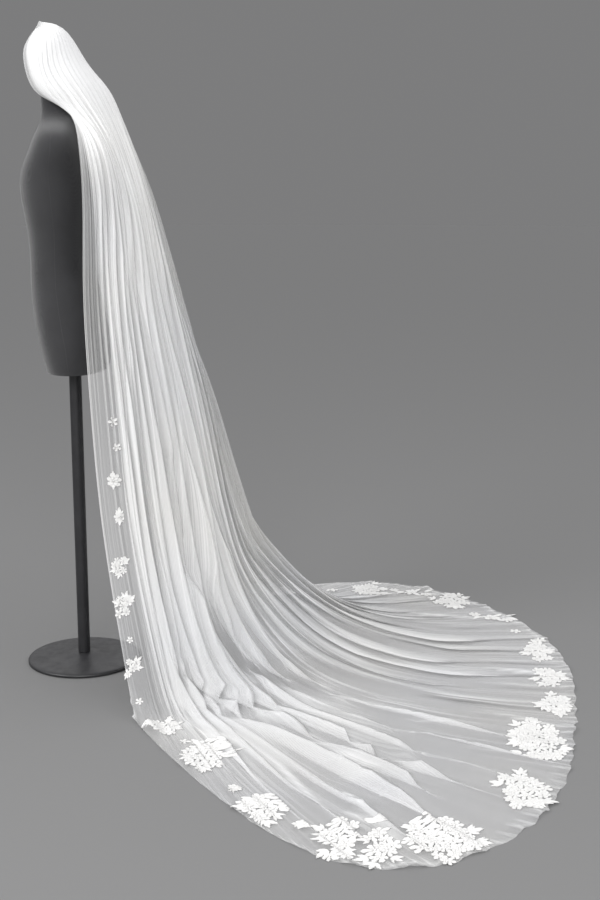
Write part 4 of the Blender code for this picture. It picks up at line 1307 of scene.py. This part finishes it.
class VEIL_OT_form(bpy.types.Operator):
    """Make the limbless form with its egg head and sewn seams"""

    bl_idname = "veil.form"
    bl_label = "Dress form"

    def execute(self, context):
        settings = context.scene.veil
        jersey = jersey_material(settings.form_colour)
        mesh = subdivided(torso_cage(), 3)
        torso = add_piece("form_torso_jersey", mesh, jersey)
        mesh.set_sharp_from_angle(angle=SHARP_ANGLE)
        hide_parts("form_torso")

        egg = bmesh.new()
        bmesh.ops.create_uvsphere(egg, u_segments=64, v_segments=40, radius=1.0)
        bmesh.ops.scale(egg, vec=HEAD_HALF_SIZE, verts=egg.verts[:])
        bmesh.ops.translate(egg, vec=HEAD_CENTRE, verts=egg.verts[:])
        whole = egg.verts[:] + egg.edges[:] + egg.faces[:]
        bmesh.ops.bisect_plane(
            egg, geom=whole, plane_co=(0, 0, HEAD_SEAT), plane_no=(0, 0, 1), clear_inner=True)
        bmesh.ops.holes_fill(egg, edges=[edge for edge in egg.edges if edge.is_boundary])
        mesh = outward_mesh("form_head_jersey", egg)
        head = add_piece("form_head_jersey", mesh, jersey)
        mesh.set_sharp_from_angle(angle=SHARP_ANGLE)
        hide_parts("form_head")

        surface = BVHTree.FromPolygons(
            [vertex.co for vertex in torso.data.vertices], [face.vertices for face in torso.data.polygons])
        heights, fronts, backs, _ = np.array(TORSO_SECTIONS).T
        seams = []
        for turn in map(math.radians, TORSO_SEAMS):
            aim = Vector((math.cos(turn), math.sin(turn), 0))
            line = []
            for height in np.arange(*SEAM_HEIGHTS):
                middle = (np.interp(height, heights, fronts) + np.interp(height, heights, backs)) / 2
                hit = surface.ray_cast(Vector((middle, 0, height)) + aim * 0.5, -aim)[0]
                line.append(hit + aim * 0.0001)
            seams.append(line)
        mesh = run_nodes("form_seam_stitches", polyline("form_seam_lines", seams), stitch_tree(), {
            "Spacing": settings.stitch_spacing, "Material": jersey, **STITCH})
        add_piece("form_seam_stitches", mesh, jersey)
        return {"FINISHED"}


class VEIL_OT_stand(bpy.types.Operator):
    """Make the stand's round base and its pole"""

    bl_idname = "veil.stand"
    bl_label = "Stand"

    def execute(self, context):
        steel = steel_material(context.scene.veil.stand_colour)
        for name, node, profile in (("stand_base_turned", "stand_base", BASE_PROFILE),
                                    ("stand_pole_turned", "stand_pole", pole_profile())):
            mesh = turned_profile(name, profile, 72)
            piece = add_piece(name, mesh, steel)
            mesh.set_sharp_from_angle(angle=SHARP_ANGLE)
            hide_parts(node)
        return {"FINISHED"}


class VEIL_OT_comb(bpy.types.Operator):
    """Make the comb that the veil is sewn to"""

    bl_idname = "veil.comb"
    bl_label = "Comb"

    def execute(self, context):
        settings = context.scene.veil
        front = (-math.sin(COMB_TILT), 0, math.cos(COMB_TILT))
        place = frame_matrix(COMB_CENTRE, (0, -1, 0), front)
        plastic = comb_material(settings.comb_colour)
        tree = row_tree()

        tooth = plain_object(
            "tooth", tapered_rod(COMB_TOOTH_RADIUS, COMB_TOOTH_RADIUS / 2, COMB_TOOTH_LENGTH))
        teeth = run_nodes("comb_teeth", bpy.data.meshes.new("teeth"), tree, {
            "Thing": tooth, "Width": COMB_LENGTH, "Count": COMB_TEETH, "Material": plastic})
        bar = tapered_rod(COMB_BAR_RADIUS, COMB_BAR_RADIUS, COMB_LENGTH + 2 * COMB_END)
        start = Matrix.Translation((-COMB_LENGTH / 2 - COMB_END, 0, 0))
        bar.transform(start @ Matrix.Rotation(math.pi / 2, 4, "Z"))
        mesh = quick_mesh("comb_moulded", *merged([triangles_of(bar), triangles_of(teeth)]))
        mesh.transform(place)
        comb = add_piece("comb_moulded", mesh, plastic)
        mesh.set_sharp_from_angle(angle=SHARP_ANGLE)
        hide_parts("veil_comb")
        bpy.data.objects.remove(tooth)

        thread = thread_material(settings.lace_colour)
        loop = plain_object("loop", ring_mesh(COMB_BAR_RADIUS + THREAD_RADIUS, THREAD_RADIUS))
        mesh = run_nodes("comb_thread", bpy.data.meshes.new("thread"), tree, {
            "Thing": loop, "Width": COMB_LENGTH - 2 * COMB_END, "Count": THREAD_LOOPS, "Material": thread})
        mesh.transform(place)
        add_piece("comb_thread", mesh, thread)
        bpy.data.objects.remove(loop)
        return {"FINISHED"}


class VEIL_OT_panel(bpy.types.Operator):
    """Make the gathered tulle panel and its gathering stitches"""

    bl_idname = "veil.panel"
    bl_label = "Tulle panel"

    def execute(self, context):
        settings = context.scene.veil
        cloth = folded_cloth()
        inner, outer = wall_of(cloth["middle"], NET_THICKNESS)
        mesh = closed_grid("tulle_panel", inner, outer)
        for label in ("gathers", "streaks"):
            values = mesh.attributes.new(label, "FLOAT", "POINT")
            values.data.foreach_set("value", np.tile(cloth[label].ravel(), 2).astype(np.float32))
        down = np.tile(metres_down(cloth["rows"])[:, None], cloth["across"].shape[1])
        flat = np.stack([cloth["across"] * CUT_WIDTH, down], axis=-1).reshape(-1, 2)
        corner = np.empty(len(mesh.loops), np.int32)
        mesh.loops.foreach_get("vertex_index", corner)
        unwrapped = mesh.uv_layers.new(name="cloth")
        unwrapped.data.foreach_set("uv", np.tile(flat, (2, 1))[corner].astype(np.float32).ravel())
        net = tulle_material(settings.tulle_colour, settings.net_density)
        veil = add_piece("tulle_panel", mesh, net)
        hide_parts("veil_panel")

        thread = thread_material(settings.lace_colour)
        lines = [(cloth["middle"] + cloth["normals"] * 0.0005)[row] for row in GATHERING_ROWS]
        mesh = run_nodes("gathering_stitches", polyline("gathering_lines", lines), stitch_tree(), {
            "Material": thread, **GATHERING_STITCH})
        add_piece("gathering_stitches", mesh, thread)
        return {"FINISHED"}


class VEIL_OT_lace(bpy.types.Operator):
    """Make the lace along the lower edge and the side edges"""

    bl_idname = "veil.lace"
    bl_label = "Lace"

    def execute(self, context):
        settings = context.scene.veil
        lace = lace_material(settings.lace_colour)
        cloth = folded_cloth()
        shapes = lace_shapes(lace)
        number = 0
        for name, node_name, rows in APPLIQUES:
            laid = []
            for kind, row, across, width, height in rows:
                rng = np.random.default_rng([settings.lace_seed, number])
                points, faces = merged(LACE_KINDS[kind](shapes, rng, width / 1000, height / 1000))
                laid.append((lay_on_cloth(cloth, row, across, points), faces))
                number += 1
            piece = add_piece(name, quick_mesh(name, *merged(laid)), lace)
            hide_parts(*(node_name.format(count + 1) for count in range(len(rows))))
        return {"FINISHED"}


class VEIL_PT_pieces(bpy.types.Panel):
    """The veil's pieces and settings"""

    bl_label = "Chapel veil"
    bl_idname = "VEIL_PT_pieces"
    bl_space_type = "VIEW_3D"
    bl_region_type = "UI"
    bl_category = "Veil"

    def draw(self, context):
        layout = self.layout
        for operator in OPERATORS:
            layout.operator(operator.bl_idname)
        for group in (context.scene.veil, context.scene.veil_stage):
            for label in group.bl_rna.properties.keys():
                if label not in ("rna_type", "name"):
                    layout.prop(group, label)


OPERATORS = (VEIL_OT_stage, VEIL_OT_form, VEIL_OT_stand, VEIL_OT_comb, VEIL_OT_panel, VEIL_OT_lace)
CLASSES = (VeilSettings, StageSettings, *OPERATORS, VEIL_PT_pieces)


def register():
    """Make the classes and their settings known to Blender."""
    for made in CLASSES:
        bpy.utils.register_class(made)
    bpy.types.Scene.veil = PointerProperty(type=VeilSettings)
    bpy.types.Scene.veil_stage = PointerProperty(type=StageSettings)


def unregister():
    """Take the settings and the classes away again."""
    del bpy.types.Scene.veil_stage
    del bpy.types.Scene.veil
    for made in reversed(CLASSES):
        bpy.utils.unregister_class(made)


def main():
    """Build everything in order."""
    register()
    bpy.ops.veil.stage()
    bpy.ops.veil.form()
    bpy.ops.veil.stand()
    bpy.ops.veil.comb()
    bpy.ops.veil.panel()
    bpy.ops.veil.lace()
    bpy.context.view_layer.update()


if __name__ == "__main__":
    main()
